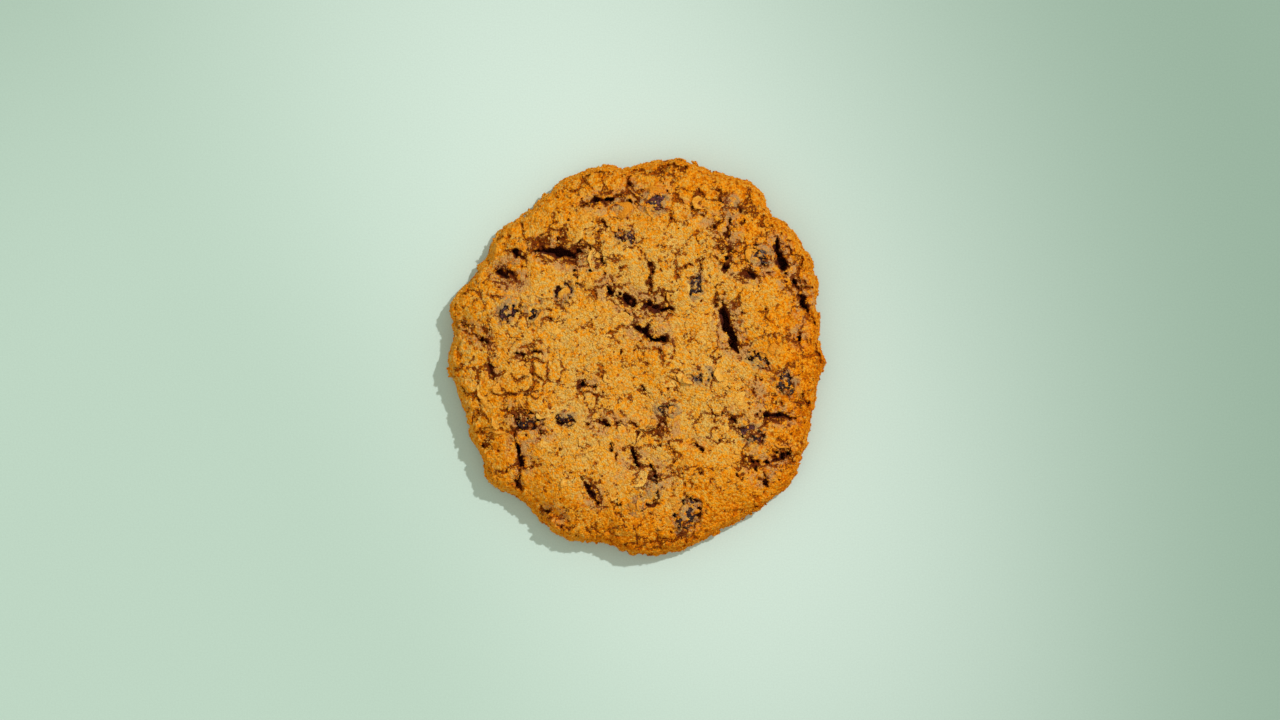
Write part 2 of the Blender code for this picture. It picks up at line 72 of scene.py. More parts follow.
class Grain:
    """Seeded noise that fills space. It repeats only far outside the cookie."""

    def __init__(self, seed: int, cells: int = 64) -> None:
        """Fills the noise's table.

        Args:
            seed: the seed of the table, so that each run is the same.
            cells: how many cells the table has along each side.
        """
        source = np.random.default_rng(seed)
        self.cells = cells
        self.values = source.uniform(-1, 1, (cells, cells, cells)).astype(np.float32)
        self.seats = source.uniform(0.1, 0.9, (32**3, 4)).astype(np.float32)

    def at(self, points: np.ndarray, wavelength: float) -> np.ndarray:
        """Smooth noise from -1 to 1.

        Args:
            points: one point a row.
            wavelength: the noise's size.

        Returns:
            One value for each point.
        """
        scaled = points.astype(np.float32) / np.float32(wavelength)
        low = np.floor(scaled)
        part = scaled - low
        part = part * part * (3 - 2 * part)
        low = low.astype(np.int32) % self.cells
        high = (low + 1) % self.cells
        sides = [((low[:, k], 1 - part[:, k]), (high[:, k], part[:, k])) for k in range(3)]
        total = np.zeros(len(points), np.float32)
        for (i, u), (j, v), (k, w) in itertools.product(*sides):
            total += self.values[i, j, k] * u * v * w
        return total

    def rough(self, points: np.ndarray, wavelength: float, octaves: int = 3) -> np.ndarray:
        """Noise with finer and fainter noise added to it.

        Args:
            points: one point a row.
            wavelength: the size of the coarsest noise.
            octaves: how many sizes are added, each half the one before.

        Returns:
            One value for each point, about -1 to 1.
        """
        shift = np.array([11.3, 5.7, 8.1], np.float32) * wavelength
        total = np.zeros(len(points), np.float32)
        for octave in range(octaves):
            total += self.at(points + shift * octave, wavelength / 2**octave) / 2**octave
        return total

    def clods(self, points: np.ndarray, size: float) -> tuple[np.ndarray, ...]:
        """Space broken into uneven clods, each round a seat of its own.

        Args:
            points: one point a row.
            size: the usual size of a clod.

        Returns:
            The distance to the nearest seat and to the second nearest, in clod sizes, a random
            number from 0 to 1 that belongs to the nearest clod, and the nearest seat's place.
        """
        scaled = points.astype(np.float32) / np.float32(size)
        home = np.floor(scaled - 0.5).astype(np.int32)
        near = np.full(len(points), 9.0, np.float32)
        second = np.full(len(points), 9.0, np.float32)
        best = np.zeros((len(points), 4), np.float32)
        for step in itertools.product((0, 1), repeat=3):
            cell = home + np.array(step, np.int32)
            wrapped = cell & 31
            row = self.seats[(wrapped[:, 0] << 10) | (wrapped[:, 1] << 5) | wrapped[:, 2]]
            row[:, :3] += cell
            gap = row[:, :3] - scaled
            away = np.einsum("ij,ij->i", gap, gap)
            closer = away < near
            second = np.where(closer, near, np.minimum(second, away))
            near = np.minimum(near, away)
            best[closer] = row[closer]
        tint = (best[:, 3] - 0.1) / 0.8
        return np.sqrt(near), np.sqrt(second), tint, best[:, :3] * np.float32(size)

    def from_joints(self, points: np.ndarray, size: float) -> np.ndarray:
        """How far points lie from the joints of an uneven pavement, seen from above.

        Args:
            points: one point a row.
            size: the usual size of a slab.

        Returns:
            One distance for each point.
        """
        scaled = points[:, :2] / size
        home = np.floor(scaled).astype(np.int32)
        seats = []
        for step in itertools.product((-1, 0, 1), repeat=2):
            cell = home + np.array(step, np.int32)
            wrapped = cell & 31
            seats.append(self.seats[(wrapped[:, 0] << 10) | (wrapped[:, 1] << 5)][:, :2] + cell)
        seats = np.stack(seats, axis=1)
        squares = ((seats - scaled[:, None]) ** 2).sum(axis=2)
        rows, nearest = np.arange(len(points)), squares.argmin(axis=1)
        apart = np.linalg.norm(seats - seats[rows, nearest][:, None], axis=2)
        apart[rows, nearest] = 1
        away = (squares - squares.min(axis=1)[:, None]) / (2 * apart)
        away[rows, nearest] = 9
        return away.min(axis=1) * size


def eased(values: np.ndarray, low: float, high: float) -> np.ndarray:
    """A smooth step.

    Args:
        values: what is stepped.
        low: the value that becomes 0.
        high: the value that becomes 1.

    Returns:
        Values from 0 to 1.
    """
    share = np.clip((values - low) / (high - low), 0, 1)
    return share * share * (3 - 2 * share)


def softened(block: np.ndarray, reach: int, passes: int = 2) -> np.ndarray:
    """Averages a map or a block over a small square or cube.

    Args:
        block: the values, in two or three dimensions.
        reach: how many cells to each side are averaged.
        passes: how often it is done.

    Returns:
        Values of the same shape.
    """
    width = 2 * reach + 1
    for _ in range(passes):
        for axis in range(block.ndim):
            pad = [(0, 0)] * block.ndim
            pad[axis] = (reach + 1, reach)
            run = np.cumsum(np.pad(block, pad, mode="edge"), axis=axis, dtype=np.float64)
            high = np.take(run, range(width, run.shape[axis]), axis=axis)
            low = np.take(run, range(run.shape[axis] - width), axis=axis)
            block = ((high - low) / width).astype(np.float32)
    return block


def looked_up(block: np.ndarray, places: np.ndarray) -> np.ndarray:
    """Values between the cells of a map or a block.

    Args:
        block: the values, in two or three dimensions.
        places: one place a row, counted in cells.

    Returns:
        One value for each place.
    """
    top = np.array(block.shape) - 1.001
    inside = np.clip(places, 0, top)
    low = np.floor(inside).astype(np.int32)
    part = (inside - low).astype(np.float32)
    total = np.zeros(len(places), np.float32)
    for corner in itertools.product((0, 1), repeat=block.ndim):
        weight = np.ones(len(places), np.float32)
        for axis, one in enumerate(corner):
            weight = weight * (part[:, axis] if one else 1 - part[:, axis])
        total += block[tuple((low + np.array(corner)).T)] * weight
    return total


# ---------------------------------------------------------------- meshes


def mesh_object(name: str, points: np.ndarray, faces: np.ndarray) -> bpy.types.Object:
    """Makes a smooth mesh and links it.

    Args:
        name: the piece's name.
        points: one point a row.
        faces: one face a row, all with the same number of corners.

    Returns:
        The new object.
    """
    corners = faces.shape[1]
    mesh = bpy.data.meshes.new(name)
    mesh.vertices.add(len(points))
    mesh.vertices.foreach_set("co", points.astype(np.float32).ravel())
    mesh.loops.add(faces.size)
    mesh.loops.foreach_set("vertex_index", faces.astype(np.int32).ravel())
    mesh.polygons.add(len(faces))
    mesh.polygons.foreach_set("loop_start", np.arange(0, faces.size, corners, dtype=np.int32))
    mesh.update(calc_edges=True)
    mesh.shade_smooth()
    made = bpy.data.objects.new(name, mesh)
    bpy.context.scene.collection.objects.link(made)
    return made


def points_of(mesh: bpy.types.Mesh) -> np.ndarray:
    """Returns the mesh's points, one a row."""
    flat = np.zeros(len(mesh.vertices) * 3, np.float32)
    mesh.vertices.foreach_get("co", flat)
    return flat.reshape(-1, 3)


def normals_of(mesh: bpy.types.Mesh) -> np.ndarray:
    """Returns the mesh's point normals, one a row."""
    flat = np.zeros(len(mesh.vertices) * 3, np.float32)
    mesh.vertex_normals.foreach_get("vector", flat)
    return flat.reshape(-1, 3)


def triangles_of(mesh: bpy.types.Mesh) -> np.ndarray:
    """Returns the mesh's triangles as corner numbers, one triangle a row."""
    mesh.calc_loop_triangles()
    flat = np.zeros(len(mesh.loop_triangles) * 3, np.int32)
    mesh.loop_triangles.foreach_get("vertices", flat)
    return flat.reshape(-1, 3)


def store(mesh: bpy.types.Mesh, name: str, values: np.ndarray) -> None:
    """Keeps one number for each point of the mesh, for the materials to read.

    Args:
        mesh: the mesh.
        name: the attribute's name.
        values: one value for each point.
    """
    attribute = mesh.attributes.new(name, "FLOAT", "POINT")
    attribute.data.foreach_set("value", values.astype(np.float32))


def settled(made: bpy.types.Object) -> bpy.types.Object:
    """Replaces an object's mesh by what its modifiers make of it.

    Args:
        made: the object, with its modifiers.

    Returns:
        The same object, with no modifiers left.
    """
    graph = bpy.context.evaluated_depsgraph_get()
    graph.update()
    fresh = bpy.data.meshes.new_from_object(made.evaluated_get(graph))
    made.modifiers.clear()
    made.data = fresh
    fresh.name = made.name
    return made


def skin_of(block: np.ndarray, corner: np.ndarray, step: float) -> tuple[np.ndarray, np.ndarray]:
    """Draws the skin between the solid cells of a block, below zero, and the empty ones.

    Each cell that the skin crosses gets one point, at the middle of its crossings, and each
    edge of the block that the skin crosses gets one face.

    Args:
        block: the signed distances.
        corner: where the block's first value lies.
        step: the gap between values.

    Returns:
        The skin's points, and its faces of four corners.
    """
    solid = block < 0
    size = np.array(solid.shape) - 1
    count = np.zeros(size, np.int8)
    for i, j, k in itertools.product((0, 1), repeat=3):
        count += solid[i : size[0] + i, j : size[1] + j, k : size[2] + k]
    crossed = (count > 0) & (count < 8)
    cells = np.argwhere(crossed)
    number = np.full(size, -1, np.int32)
    number[crossed] = np.arange(len(cells))
    total = np.zeros((len(cells), 3), np.float32)
    hits = np.zeros(len(cells), np.float32)
    for axis in range(3):
        ahead = np.eye(3, dtype=int)[axis]
        others = [np.eye(3, dtype=int)[k] for k in range(3) if k != axis]
        for u, v in itertools.product((0, 1), repeat=2):
            start = u * others[0] + v * others[1]
            first = block[tuple((cells + start).T)]
            last = block[tuple((cells + start + ahead).T)]
            cut = (first < 0) != (last < 0)
            share = first[cut] / (first[cut] - last[cut])
            total[cut] += start + share[:, None] * ahead
            hits[cut] += 1
    points = corner + (cells + total / hits[:, None]) * step
    faces = []
    for axis in range(3):
        ahead, side, up = (np.eye(3, dtype=int)[(axis + k) % 3] for k in range(3))
        edge = np.diff(solid.astype(np.int8), axis=axis)
        for sign in (-1, 1):
            starts = np.argwhere(edge == sign)
            room = np.all((starts - side - up >= 0) & (starts < size), axis=1)
            starts = starts[room]
            ring = [starts - side - up, starts - up, starts, starts - side]
            ring = [number[tuple(cell.T)] for cell in ring]
            faces.append(np.stack(ring[::-sign], axis=1))
    return points, np.concatenate(faces)


def largest_part(points: np.ndarray, faces: np.ndarray) -> tuple[np.ndarray, np.ndarray]:
    """Drops the specks that hang loose from the largest skin.

    Args:
        points: the skin's points.
        faces: the skin's faces.

    Returns:
        The points and faces of the largest connected skin.
    """
    label = np.arange(len(points))
    while True:
        low = label[faces].min(axis=1)
        fresh = label.copy()
        for column in faces.T:
            np.minimum.at(fresh, column, low)
        fresh = fresh[fresh]
        if np.array_equal(fresh, label):
            break
        label = fresh
    main = np.bincount(label).argmax()
    kept = label == main
    number = np.cumsum(kept) - 1
    return points[kept], number[faces[kept[faces[:, 0]]]]


# ---------------------------------------------------------------- materials


class Wiring:
    """A material under construction, with short ways to add its nodes."""

    def __init__(self, name: str) -> None:
        """Starts a material.

        Args:
            name: the material's name.
        """
        self.material = bpy.data.materials.new(name)
        self.material.use_nodes = True
        self.nodes = self.material.node_tree.nodes
        self.shader = self.nodes["Principled BSDF"]
        self.place = self.node("ShaderNodeTexCoord").outputs["Object"]

    def node(self, kind: str, inputs: dict | None = None, **settings: object) -> bpy.types.Node:
        """Adds a node.

        Args:
            kind: Blender's name for the node.
            inputs: a number or a socket for each named or numbered input.
            settings: the node's own settings.

        Returns:
            The node.
        """
        made = self.nodes.new(kind)
        for name, value in settings.items():
            setattr(made, name, value)
        for name, value in (inputs or {}).items():
            self.feed(made.inputs[name], value)
        return made

    def feed(self, socket: bpy.types.NodeSocket, value: object) -> None:
        """Sets an input to a number or links it to a socket.

        Args:
            socket: the input.
            value: a number, a colour or another node's output.
        """
        if isinstance(value, bpy.types.NodeSocket):
            self.material.node_tree.links.new(value, socket)
        else:
            socket.default_value = value

    def stored(self, name: str) -> bpy.types.NodeSocket:
        """Returns the number that the mesh keeps under a name."""
        return self.node("ShaderNodeAttribute", attribute_name=name).outputs["Fac"]

    def noise(self, size: float, detail: float = 2, contrast: float = 1) -> bpy.types.NodeSocket:
        """Noise in space.

        Args:
            size: its wavelength.
            detail: how many finer sizes are added.
            contrast: how strongly it leaves its middle, 0.5.

        Returns:
            A number about 0 to 1.
        """
        inputs = {"Vector": self.place, "Scale": 1 / size, "Detail": detail, "Roughness": 0.6}
        value = self.node("ShaderNodeTexNoise", inputs).outputs[0]
        return value if contrast == 1 else self.ranged(value, 0.5 - 0.5 / contrast, 0.5 + 0.5 / contrast)

    def bent(self, size: float, reach: float) -> bpy.types.NodeSocket:
        """Places pushed about, so that what is drawn on them gets ragged edges.

        Args:
            size: the wavelength of the push.
            reach: how far it pushes.

        Returns:
            The places.
        """
        inputs = {"Vector": self.place, "Scale": 1 / size, "Detail": 2.0, "Roughness": 0.65}
        push = self.node("ShaderNodeTexNoise", inputs).outputs["Color"]
        middle = self.node("ShaderNodeVectorMath", {0: push, 1: (0.5, 0.5, 0.5)}, operation="SUBTRACT")
        inputs = {0: middle.outputs[0], "Scale": 4 * reach}
        scaled = self.node("ShaderNodeVectorMath", inputs, operation="SCALE")
        return self.node("ShaderNodeVectorMath", {0: self.place, 1: scaled.outputs[0]}).outputs[0]

    def cells(self, size: float, places: object = None) -> bpy.types.Node:
        """Small cells in space.

        Args:
            size: the usual size of a cell.
            places: where they are drawn, if not on the piece's own places.

        Returns:
            The node, whose Distance is in cell sizes.
        """
        inputs = {"Vector": places or self.place, "Scale": 1 / size}
        return self.node("ShaderNodeTexVoronoi", inputs)

    def ranged(
        self, value: object, low: float, high: float, to: Sequence[float] = (0, 1)
    ) -> bpy.types.NodeSocket:
        """A smooth step.

        Args:
            value: what is stepped.
            low: the value that becomes the first of to.
            high: the value that becomes the second of to.
            to: the range that comes out.

        Returns:
            A number within to.
        """
        inputs = {"Value": value, 1: low, 2: high, 3: to[0], 4: to[1]}
        return self.node("ShaderNodeMapRange", inputs, interpolation_type="SMOOTHSTEP").outputs[0]

    def sum(self, kind: str, first: object, second: object) -> bpy.types.NodeSocket:
        """Works out two numbers.

        Args:
            kind: the kind of sum, such as ADD.
            first: the first number.
            second: the second number.

        Returns:
            The result.
        """
        return self.node("ShaderNodeMath", {0: first, 1: second}, operation=kind).outputs[0]

    def blend(
        self, share: object, first: object, second: object, kind: str = "MIX"
    ) -> bpy.types.NodeSocket:
        """Mixes two colours.

        Args:
            share: how much of the second is used.
            first: a colour.
            second: a colour.
            kind: the kind of mix, such as MULTIPLY.

        Returns:
            The mixed colour.
        """
        made = self.node("ShaderNodeMix", data_type="RGBA", blend_type=kind)
        for socket, value in zip((made.inputs[0], made.inputs[6], made.inputs[7]), (share, first, second)):
            self.feed(socket, (*value, 1) if isinstance(value, tuple) else value)
        return made.outputs[2]

    def ramp(self, value: object, stops: Sequence[tuple[float, Colour]]) -> bpy.types.NodeSocket:
        """A run of colours.

        Args:
            value: the number that picks the colour.
            stops: the colours and where they stand.

        Returns:
            The colour.
        """
        made = self.node("ShaderNodeValToRGB", {"Fac": value})
        band = made.color_ramp.elements
        while len(band) < len(stops):
            band.new(0.5)
        for element, (place, colour) in zip(band, stops):
            element.position = place
            element.color = (*colour, 1)
        return made.outputs[0]

    def bump(self, height: object, depth: float) -> bpy.types.NodeSocket:
        """Fine relief.

        Args:
            height: the relief, from 0 to 1.
            depth: how deep it is.

        Returns:
            The bent normal.
        """
        return self.node("ShaderNodeBump", {"Height": height, "Distance": depth, "Strength": 1.0}).outputs[0]


@dataclass(frozen=True)
class CrustFinish:
    """Baked oat dough: pale gold in the middle, orange brown at the rim, with painted shade in its cracks,
    pores and hollows.
    """

    pale: Colour = (0.800, 0.468, 0.110)
    golden: Colour = (0.860, 0.377, 0.029)
    toasted: Colour = (0.985, 0.306, 0.003)
    browned: Colour = (0.640, 0.135, 0.001)
    # The next two colours are painted shade for cracks, pores and hollows, darkest on the crack floors.
    shaded: Colour = (0.185, 0.033, 0.005)
    recess_shade: Colour = (0.110, 0.024, 0.014)
    # A greyer dough tone for the valleys beside the cracks: partly a floury tone, partly painted shade.
    dusty: Colour = (0.620, 0.318, 0.108)
    veiled: Colour = (0.400, 0.265, 0.125)

    def material(self) -> bpy.types.Material:
        """Makes the crust's material.

        Returns:
            The material.
        """
        w = Wiring("baked oat dough")
        flecks = w.noise(1.3 * MM, 3, 2.0)
        patches = w.noise(4.2 * MM, 2)
        valley = w.stored("valley")
        crumb = w.cells(0.85 * MM, w.bent(0.6 * MM, 0.16 * MM))
        fine = w.cells(0.48 * MM, w.bent(0.4 * MM, 0.10 * MM))
        tint = w.node("ShaderNodeSeparateColor", {0: crumb.outputs["Color"]}).outputs[0]
        fine_tint = w.node("ShaderNodeSeparateColor", {0: fine.outputs["Color"]}).outputs[0]
        tone = w.sum("ADD", w.stored("browning"), w.ranged(patches, 0.3, 0.7, (-0.05, 0.05)))
        tone = w.sum("ADD", tone, w.ranged(flecks, 0, 1, (-0.09, 0.09)))
        tone = w.sum("ADD", tone, w.ranged(tint, 0, 1, (-0.13, 0.14)))
        tone = w.sum("ADD", tone, w.ranged(fine_tint, 0, 1, (-0.30, 0.30)))
        # Valleys are also painted slightly browner, as painted shade.
        tone = w.sum("ADD", tone, w.ranged(valley, 0, 1, (0, 0.03)))
        baked = ((0.0, self.pale), (0.33, self.golden), (0.66, self.toasted), (1.0, self.browned))
        colour = w.ramp(tone, baked)
        # Painted shade with a floury grey tone in the valleys beside the cracks.
        dust = w.ranged(valley, 0.08, 0.6, (0, 0.9))
        dust = w.sum("MULTIPLY", dust, w.ranged(w.noise(2.4 * MM, 3), 0.43, 0.54))
        colour = w.blend(dust, colour, self.dusty)
        veil = w.ranged(w.stored("veil"), 0, 1, (0, 0.8))
        veil = w.sum("MULTIPLY", veil, w.ranged(w.noise(1.6 * MM, 3), 0.42, 0.58))
        colour = w.blend(veil, colour, self.veiled)
        thin, wide = w.stored("thin"), w.stored("wide")
        close = w.ranged(w.sum("MAXIMUM", thin, wide), -0.8, 0.1)
        torn = w.sum("ADD", w.noise(2.8 * MM, 3), w.ranged(close, 0, 1, (-0.07, 0.09)))
        torn = w.sum("ADD", torn, w.ranged(w.stored("browning"), 0.45, 0.70, (0, 0.04)))
        gaps = w.ranged(fine.outputs["Distance"], 0.48, 0.80)
        gaps = w.sum("MULTIPLY", gaps, w.ranged(torn, 0.42, 0.64, (0.22, 0.70)))
        colour = w.blend(gaps, colour, self.browned)
        # Painted shade: small dark pore spots, more of them near the cracks.
        for size, widest, cover, part in ((0.95 * MM, 0.38, 0.52, 0.80), (1.7 * MM, 0.36, 0.55, 0.90)):
            holes = w.cells(size, w.bent(0.5 * size, 0.4 * size))
            chance = w.node("ShaderNodeSeparateColor", {0: holes.outputs["Color"]}).outputs[0]
            away = w.sum("ADD", holes.outputs["Distance"], w.ranged(chance, 0, 1, (-0.08, 0.22)))
            pores = w.ranged(away, widest, widest - 0.10)
            spread = w.ranged(torn, cover - 0.05, cover + 0.05, (0.08 * part, part))
            pores = w.sum("MULTIPLY", pores, spread)
            colour = w.blend(pores, colour, self.shaded)
        # Painted shade along the thin cracks and the wide ones, with ragged edges.
        ragged = w.ranged(w.noise(0.5 * MM, 2), 0.3, 0.7, (-0.16, 0.16))
        colour = w.blend(w.ranged(w.sum("ADD", thin, ragged), -0.13, 0.03, (0, 0.95)), colour, self.shaded)
        ragged = w.ranged(w.noise(0.8 * MM, 2), 0.3, 0.7, (-0.5, 0.5))
        colour = w.blend(w.ranged(w.sum("ADD", wide, ragged), 0.0, 0.6, (0, 0.9)), colour, self.shaded)
        # Painted shade: concave places are darkened, first to browned and then to shaded.
        recess_shade = w.sum("ADD", w.stored("cavity"), w.ranged(flecks, 0, 1, (-0.03, 0.03)))
        colour = w.blend(w.ranged(recess_shade, 0.56, 0.67, (0, 0.9)), colour, self.browned)
        colour = w.blend(w.ranged(recess_shade, 0.65, 0.76), colour, self.shaded)
        # Painted shade: places deep below the smooth dough are darkened, to shaded and then to the darkest
        # crack colour.
        deep = w.sum("ADD", w.stored("depth"), w.ranged(flecks, 0, 1, (-0.3, 0.3)))
        colour = w.blend(w.ranged(deep, 0.5, 1.2), colour, self.shaded)
        colour = w.blend(w.ranged(deep, 1.2, 2.4), colour, self.recess_shade)
        w.feed(w.shader.inputs["Base Color"], colour)
        w.feed(w.shader.inputs["Roughness"], w.ranged(flecks, 0, 1, (0.68, 0.9)))
        w.shader.inputs["Specular IOR Level"].default_value = 0.02
        relief = w.sum("MULTIPLY_ADD", crumb.outputs["Distance"], -0.28)
        w.feed(relief.node.inputs[2], w.sum("MULTIPLY", fine.outputs["Distance"], -0.42))
        w.feed(w.shader.inputs["Normal"], w.bump(relief, 1.0 * MM))
        return w.material


class RaisinKind(Enum):
    """How a raisin's skin has dried in the oven."""

    BLACK = "black"
    RED = "red"
    DUSTY = "dusty"


@dataclass(frozen=True)
class RaisinFinish:
    """Dried raisin skin: near black to red brown, with a pale bloom on its folds."""

    kind: RaisinKind
    dark: Colour = (0.016, 0.004, 0.004)
    red: Colour = (0.125, 0.022, 0.016)
    bloom: Colour = (0.235, 0.185, 0.145)

    def material(self) -> bpy.types.Material:
        """Makes the raisins' material.

        Returns:
            The material.
        """
        w = Wiring(f"{self.kind.value} raisin skin")
        folds = w.noise(1.1 * MM, 3, 1.8)
        redness = {RaisinKind.BLACK: 0.3, RaisinKind.RED: 1.0, RaisinKind.DUSTY: 0.3}[self.kind]
        dust = {RaisinKind.BLACK: 0.12, RaisinKind.RED: 0.08, RaisinKind.DUSTY: 0.9}[self.kind]
        colour = w.blend(w.ranged(folds, 0.2, 0.9, (0, redness)), self.dark, self.red)
        dusty = w.ranged(w.noise(0.7 * MM, 3), 0.46, 0.60)
        dusty = w.sum("MULTIPLY", dusty, w.ranged(w.stored("fold"), 0.45, 0.95, (0, dust)))
        colour = w.blend(dusty, colour, self.bloom)
        w.feed(w.shader.inputs["Base Color"], colour)
        w.feed(w.shader.inputs["Roughness"], w.ranged(folds, 0, 1, (0.22, 0.42)))
        w.shader.inputs["Specular IOR Level"].default_value = 0.28
        w.feed(w.shader.inputs["Normal"], w.bump(w.noise(0.45 * MM, 2, 1.5), 0.14 * MM))
        return w.material


@dataclass(frozen=True)
class OatFinish:
    """Rolled oats baked into the crust: paler than the dough, with a faint grain."""

    pale: Colour = (0.880, 0.510, 0.110)
    golden: Colour = (0.860, 0.400, 0.045)
    toasted: Colour = (0.760, 0.250, 0.008)

    def material(self) -> bpy.types.Material:
        """Makes the oat flakes' material.

        Returns:
            The material.
        """
        w = Wiring("toasted oat flake")
        flecks = w.noise(0.9 * MM, 3, 2)
        grit = w.noise(0.4 * MM, 3, 2)
        tone = w.sum("ADD", w.stored("tone"), w.ranged(flecks, 0, 1, (-0.28, 0.28)))
        colour = w.ramp(tone, [(0.0, self.pale), (0.5, self.golden), (1.0, self.toasted)])
        grains = w.cells(0.48 * MM, w.bent(0.4 * MM, 0.10 * MM)).outputs["Distance"]
        colour = w.blend(w.ranged(grains, 0.50, 0.85, (0, 0.8)), colour, self.toasted)
        w.feed(w.shader.inputs["Base Color"], colour)
        w.feed(w.shader.inputs["Roughness"], w.ranged(flecks, 0, 1, (0.65, 0.85)))
        w.shader.inputs["Specular IOR Level"].default_value = 0.15
        relief = w.sum("MULTIPLY_ADD", grains, -0.18)
        w.feed(relief.node.inputs[2], w.sum("MULTIPLY", grit, 0.16))
        w.feed(w.shader.inputs["Normal"], w.bump(relief, 1.0 * MM))
        return w.material


# ---------------------------------------------------------------- the dough


@dataclass
class DoughSolid:
    """The dough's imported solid, read as maps of its top and as distances from its skin."""

    node: str = "dough"
    step: float = 0.4 * MM
    coarse: float = 1.0 * MM
    margin: float = 3.0 * MM
    closing: float = 2.4 * MM
    rim_band: float = 3.4 * MM
    foot: float = 3.0 * MM
    low: np.ndarray = field(init=False)
    high: np.ndarray = field(init=False)
    top: np.ndarray = field(init=False)
    closed: np.ndarray = field(init=False)
    depth: np.ndarray = field(init=False)
    sunk: np.ndarray = field(init=False)
    greatest: np.ndarray = field(init=False)
    basin: np.ndarray = field(init=False)
    outline: np.ndarray = field(init=False)

    def __post_init__(self) -> None:
        """Reads the solid and the raisins in it."""
        self.low, self.high = (np.array(corner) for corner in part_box(self.node))
        self.points = points_of(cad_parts[self.node].data)
        self.faces = triangles_of(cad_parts[self.node].data)
        self.raisins = sorted(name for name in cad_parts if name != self.node)
        self.outline = self.measured_outline()
        self.top = self.ceiling()
        self.closed = self.without_crevices()
        self.depth = np.maximum(self.closed - self.top, 0) * (self.top > self.low[2] + 1 * MM)
        self.sunk = softened(self.depth, 3, 2)
        self.greatest = softened(self.spread(self.depth, 1.8 * MM), 1, 1)
        self.basin = softened(self.depth, 6, 2)

    def measured_outline(self) -> np.ndarray:
        """Measures the outline.

        Returns:
            The radius at each whole degree.
        """
        degrees = np.degrees(np.arctan2(self.points[:, 1], self.points[:, 0])) % 360
        radii = np.hypot(self.points[:, 0], self.points[:, 1])
        outline = np.zeros(360)
        for centre in range(360):
            gap = np.abs((degrees - centre + 180) % 360 - 180)
            outline[centre] = radii[gap < 2.0].max()
        return outline

    def inset(self, points: np.ndarray) -> np.ndarray:
        """How far points lie inside the outline, seen from above.

        Args:
            points: one point a row.

        Returns:
            One distance for each point.
        """
        degrees = np.degrees(np.arctan2(points[:, 1], points[:, 0])) % 360
        rim = np.interp(degrees, np.arange(361), np.append(self.outline, self.outline[0]))
        return rim - np.hypot(points[:, 0], points[:, 1])

    def ceiling(self) -> np.ndarray:
        """Feels the top of the dough and its raisins from above.

        Returns:
            A map of heights, with the floor's height outside the dough.
        """
        points, faces = [self.points], [self.faces]
        for name in self.raisins:
            faces.append(triangles_of(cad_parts[name].data) + sum(map(len, points)))
            points.append(points_of(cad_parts[name].data))
        tree = BVHTree.FromPolygons(np.concatenate(points).tolist(), np.concatenate(faces).tolist())
        down = Vector((0, 0, -1))
        start = self.high[2] + 0.02
        xs, ys = self.axes(self.step)
        heights = np.full((len(xs), len(ys)), self.low[2], np.float32)
        for i, x in enumerate(xs):
            for j, y in enumerate(ys):
                hit = tree.ray_cast(Vector((x, y, start)), down)[0]
                if hit is not None:
                    heights[i, j] = hit.z
        return heights

    def axes(self, step: float) -> tuple[np.ndarray, np.ndarray]:
        """The places of a map's rows and columns.

        Args:
            step: the gap between them.

        Returns:
            The x and the y values.
        """
        ranges = [np.arange(self.low[k] - self.margin, self.high[k] + self.margin, step) for k in (0, 1)]
        return ranges[0], ranges[1]

    def spread(self, heights: np.ndarray, reach: float) -> np.ndarray:
        """Raises each place of a map to the highest place near it.

        Args:
            heights: the map.
            reach: how near that is.

        Returns:
            The raised map.
        """
        cells = round(reach / self.step)
        near = itertools.product(range(-cells, cells + 1), repeat=2)
        disc = [(i, j) for i, j in near if i * i + j * j <= cells * cells]
        return np.max([np.roll(heights, shift, (0, 1)) for shift in disc], axis=0)

    def without_crevices(self) -> np.ndarray:
        """Fills the crevices and pits of the top.

        Returns:
            A map of heights.
        """
        raised = self.spread(self.top, self.closing)
        return softened(-self.spread(-raised, self.closing), 2, 2)

    def sampled(self, heights: np.ndarray, points: np.ndarray) -> np.ndarray:
        """Reads one of the maps.

        Args:
            heights: the map.
            points: one point a row, of which x and y count.

        Returns:
            One value for each point.
        """
        origin = self.low[:2] - self.margin
        return looked_up(heights, (points[:, :2] - origin) / self.step)

    def distances(self) -> np.ndarray:
        """Measures how far each place of a coarse block is from the dough with its cracks filled.

        Returns:
            The signed distances, below zero inside.
        """
        filled = self.points.astype(np.float64)
        lifted = (filled[:, 2] > self.foot) & (self.inset(filled) > self.rim_band)
        filled[lifted, 2] = self.sampled(self.closed, filled[lifted])
        lump = mesh_object("lump", filled, self.faces)
        sealed = lump.modifiers.new("seal", "REMESH")
        sealed.mode, sealed.voxel_size = "VOXEL", 0.9 * self.coarse
        settled(lump)
        tree = BVHTree.FromPolygons(points_of(lump.data).tolist(), triangles_of(lump.data).tolist())
        bpy.data.objects.remove(lump)
        xs, ys = self.axes(self.coarse)
        zs = np.arange(self.low[2] - 2 * MM, self.high[2] + self.margin, self.coarse)
        block = np.zeros((len(xs), len(ys), len(zs)), np.float32)
        for i, x in enumerate(xs):
            for j, y in enumerate(ys):
                for k, z in enumerate(zs):
                    place = Vector((x, y, z))
                    spot, normal, _, away = tree.find_nearest(place)
                    block[i, j, k] = math.copysign(away, (place - spot).dot(normal))
        return block


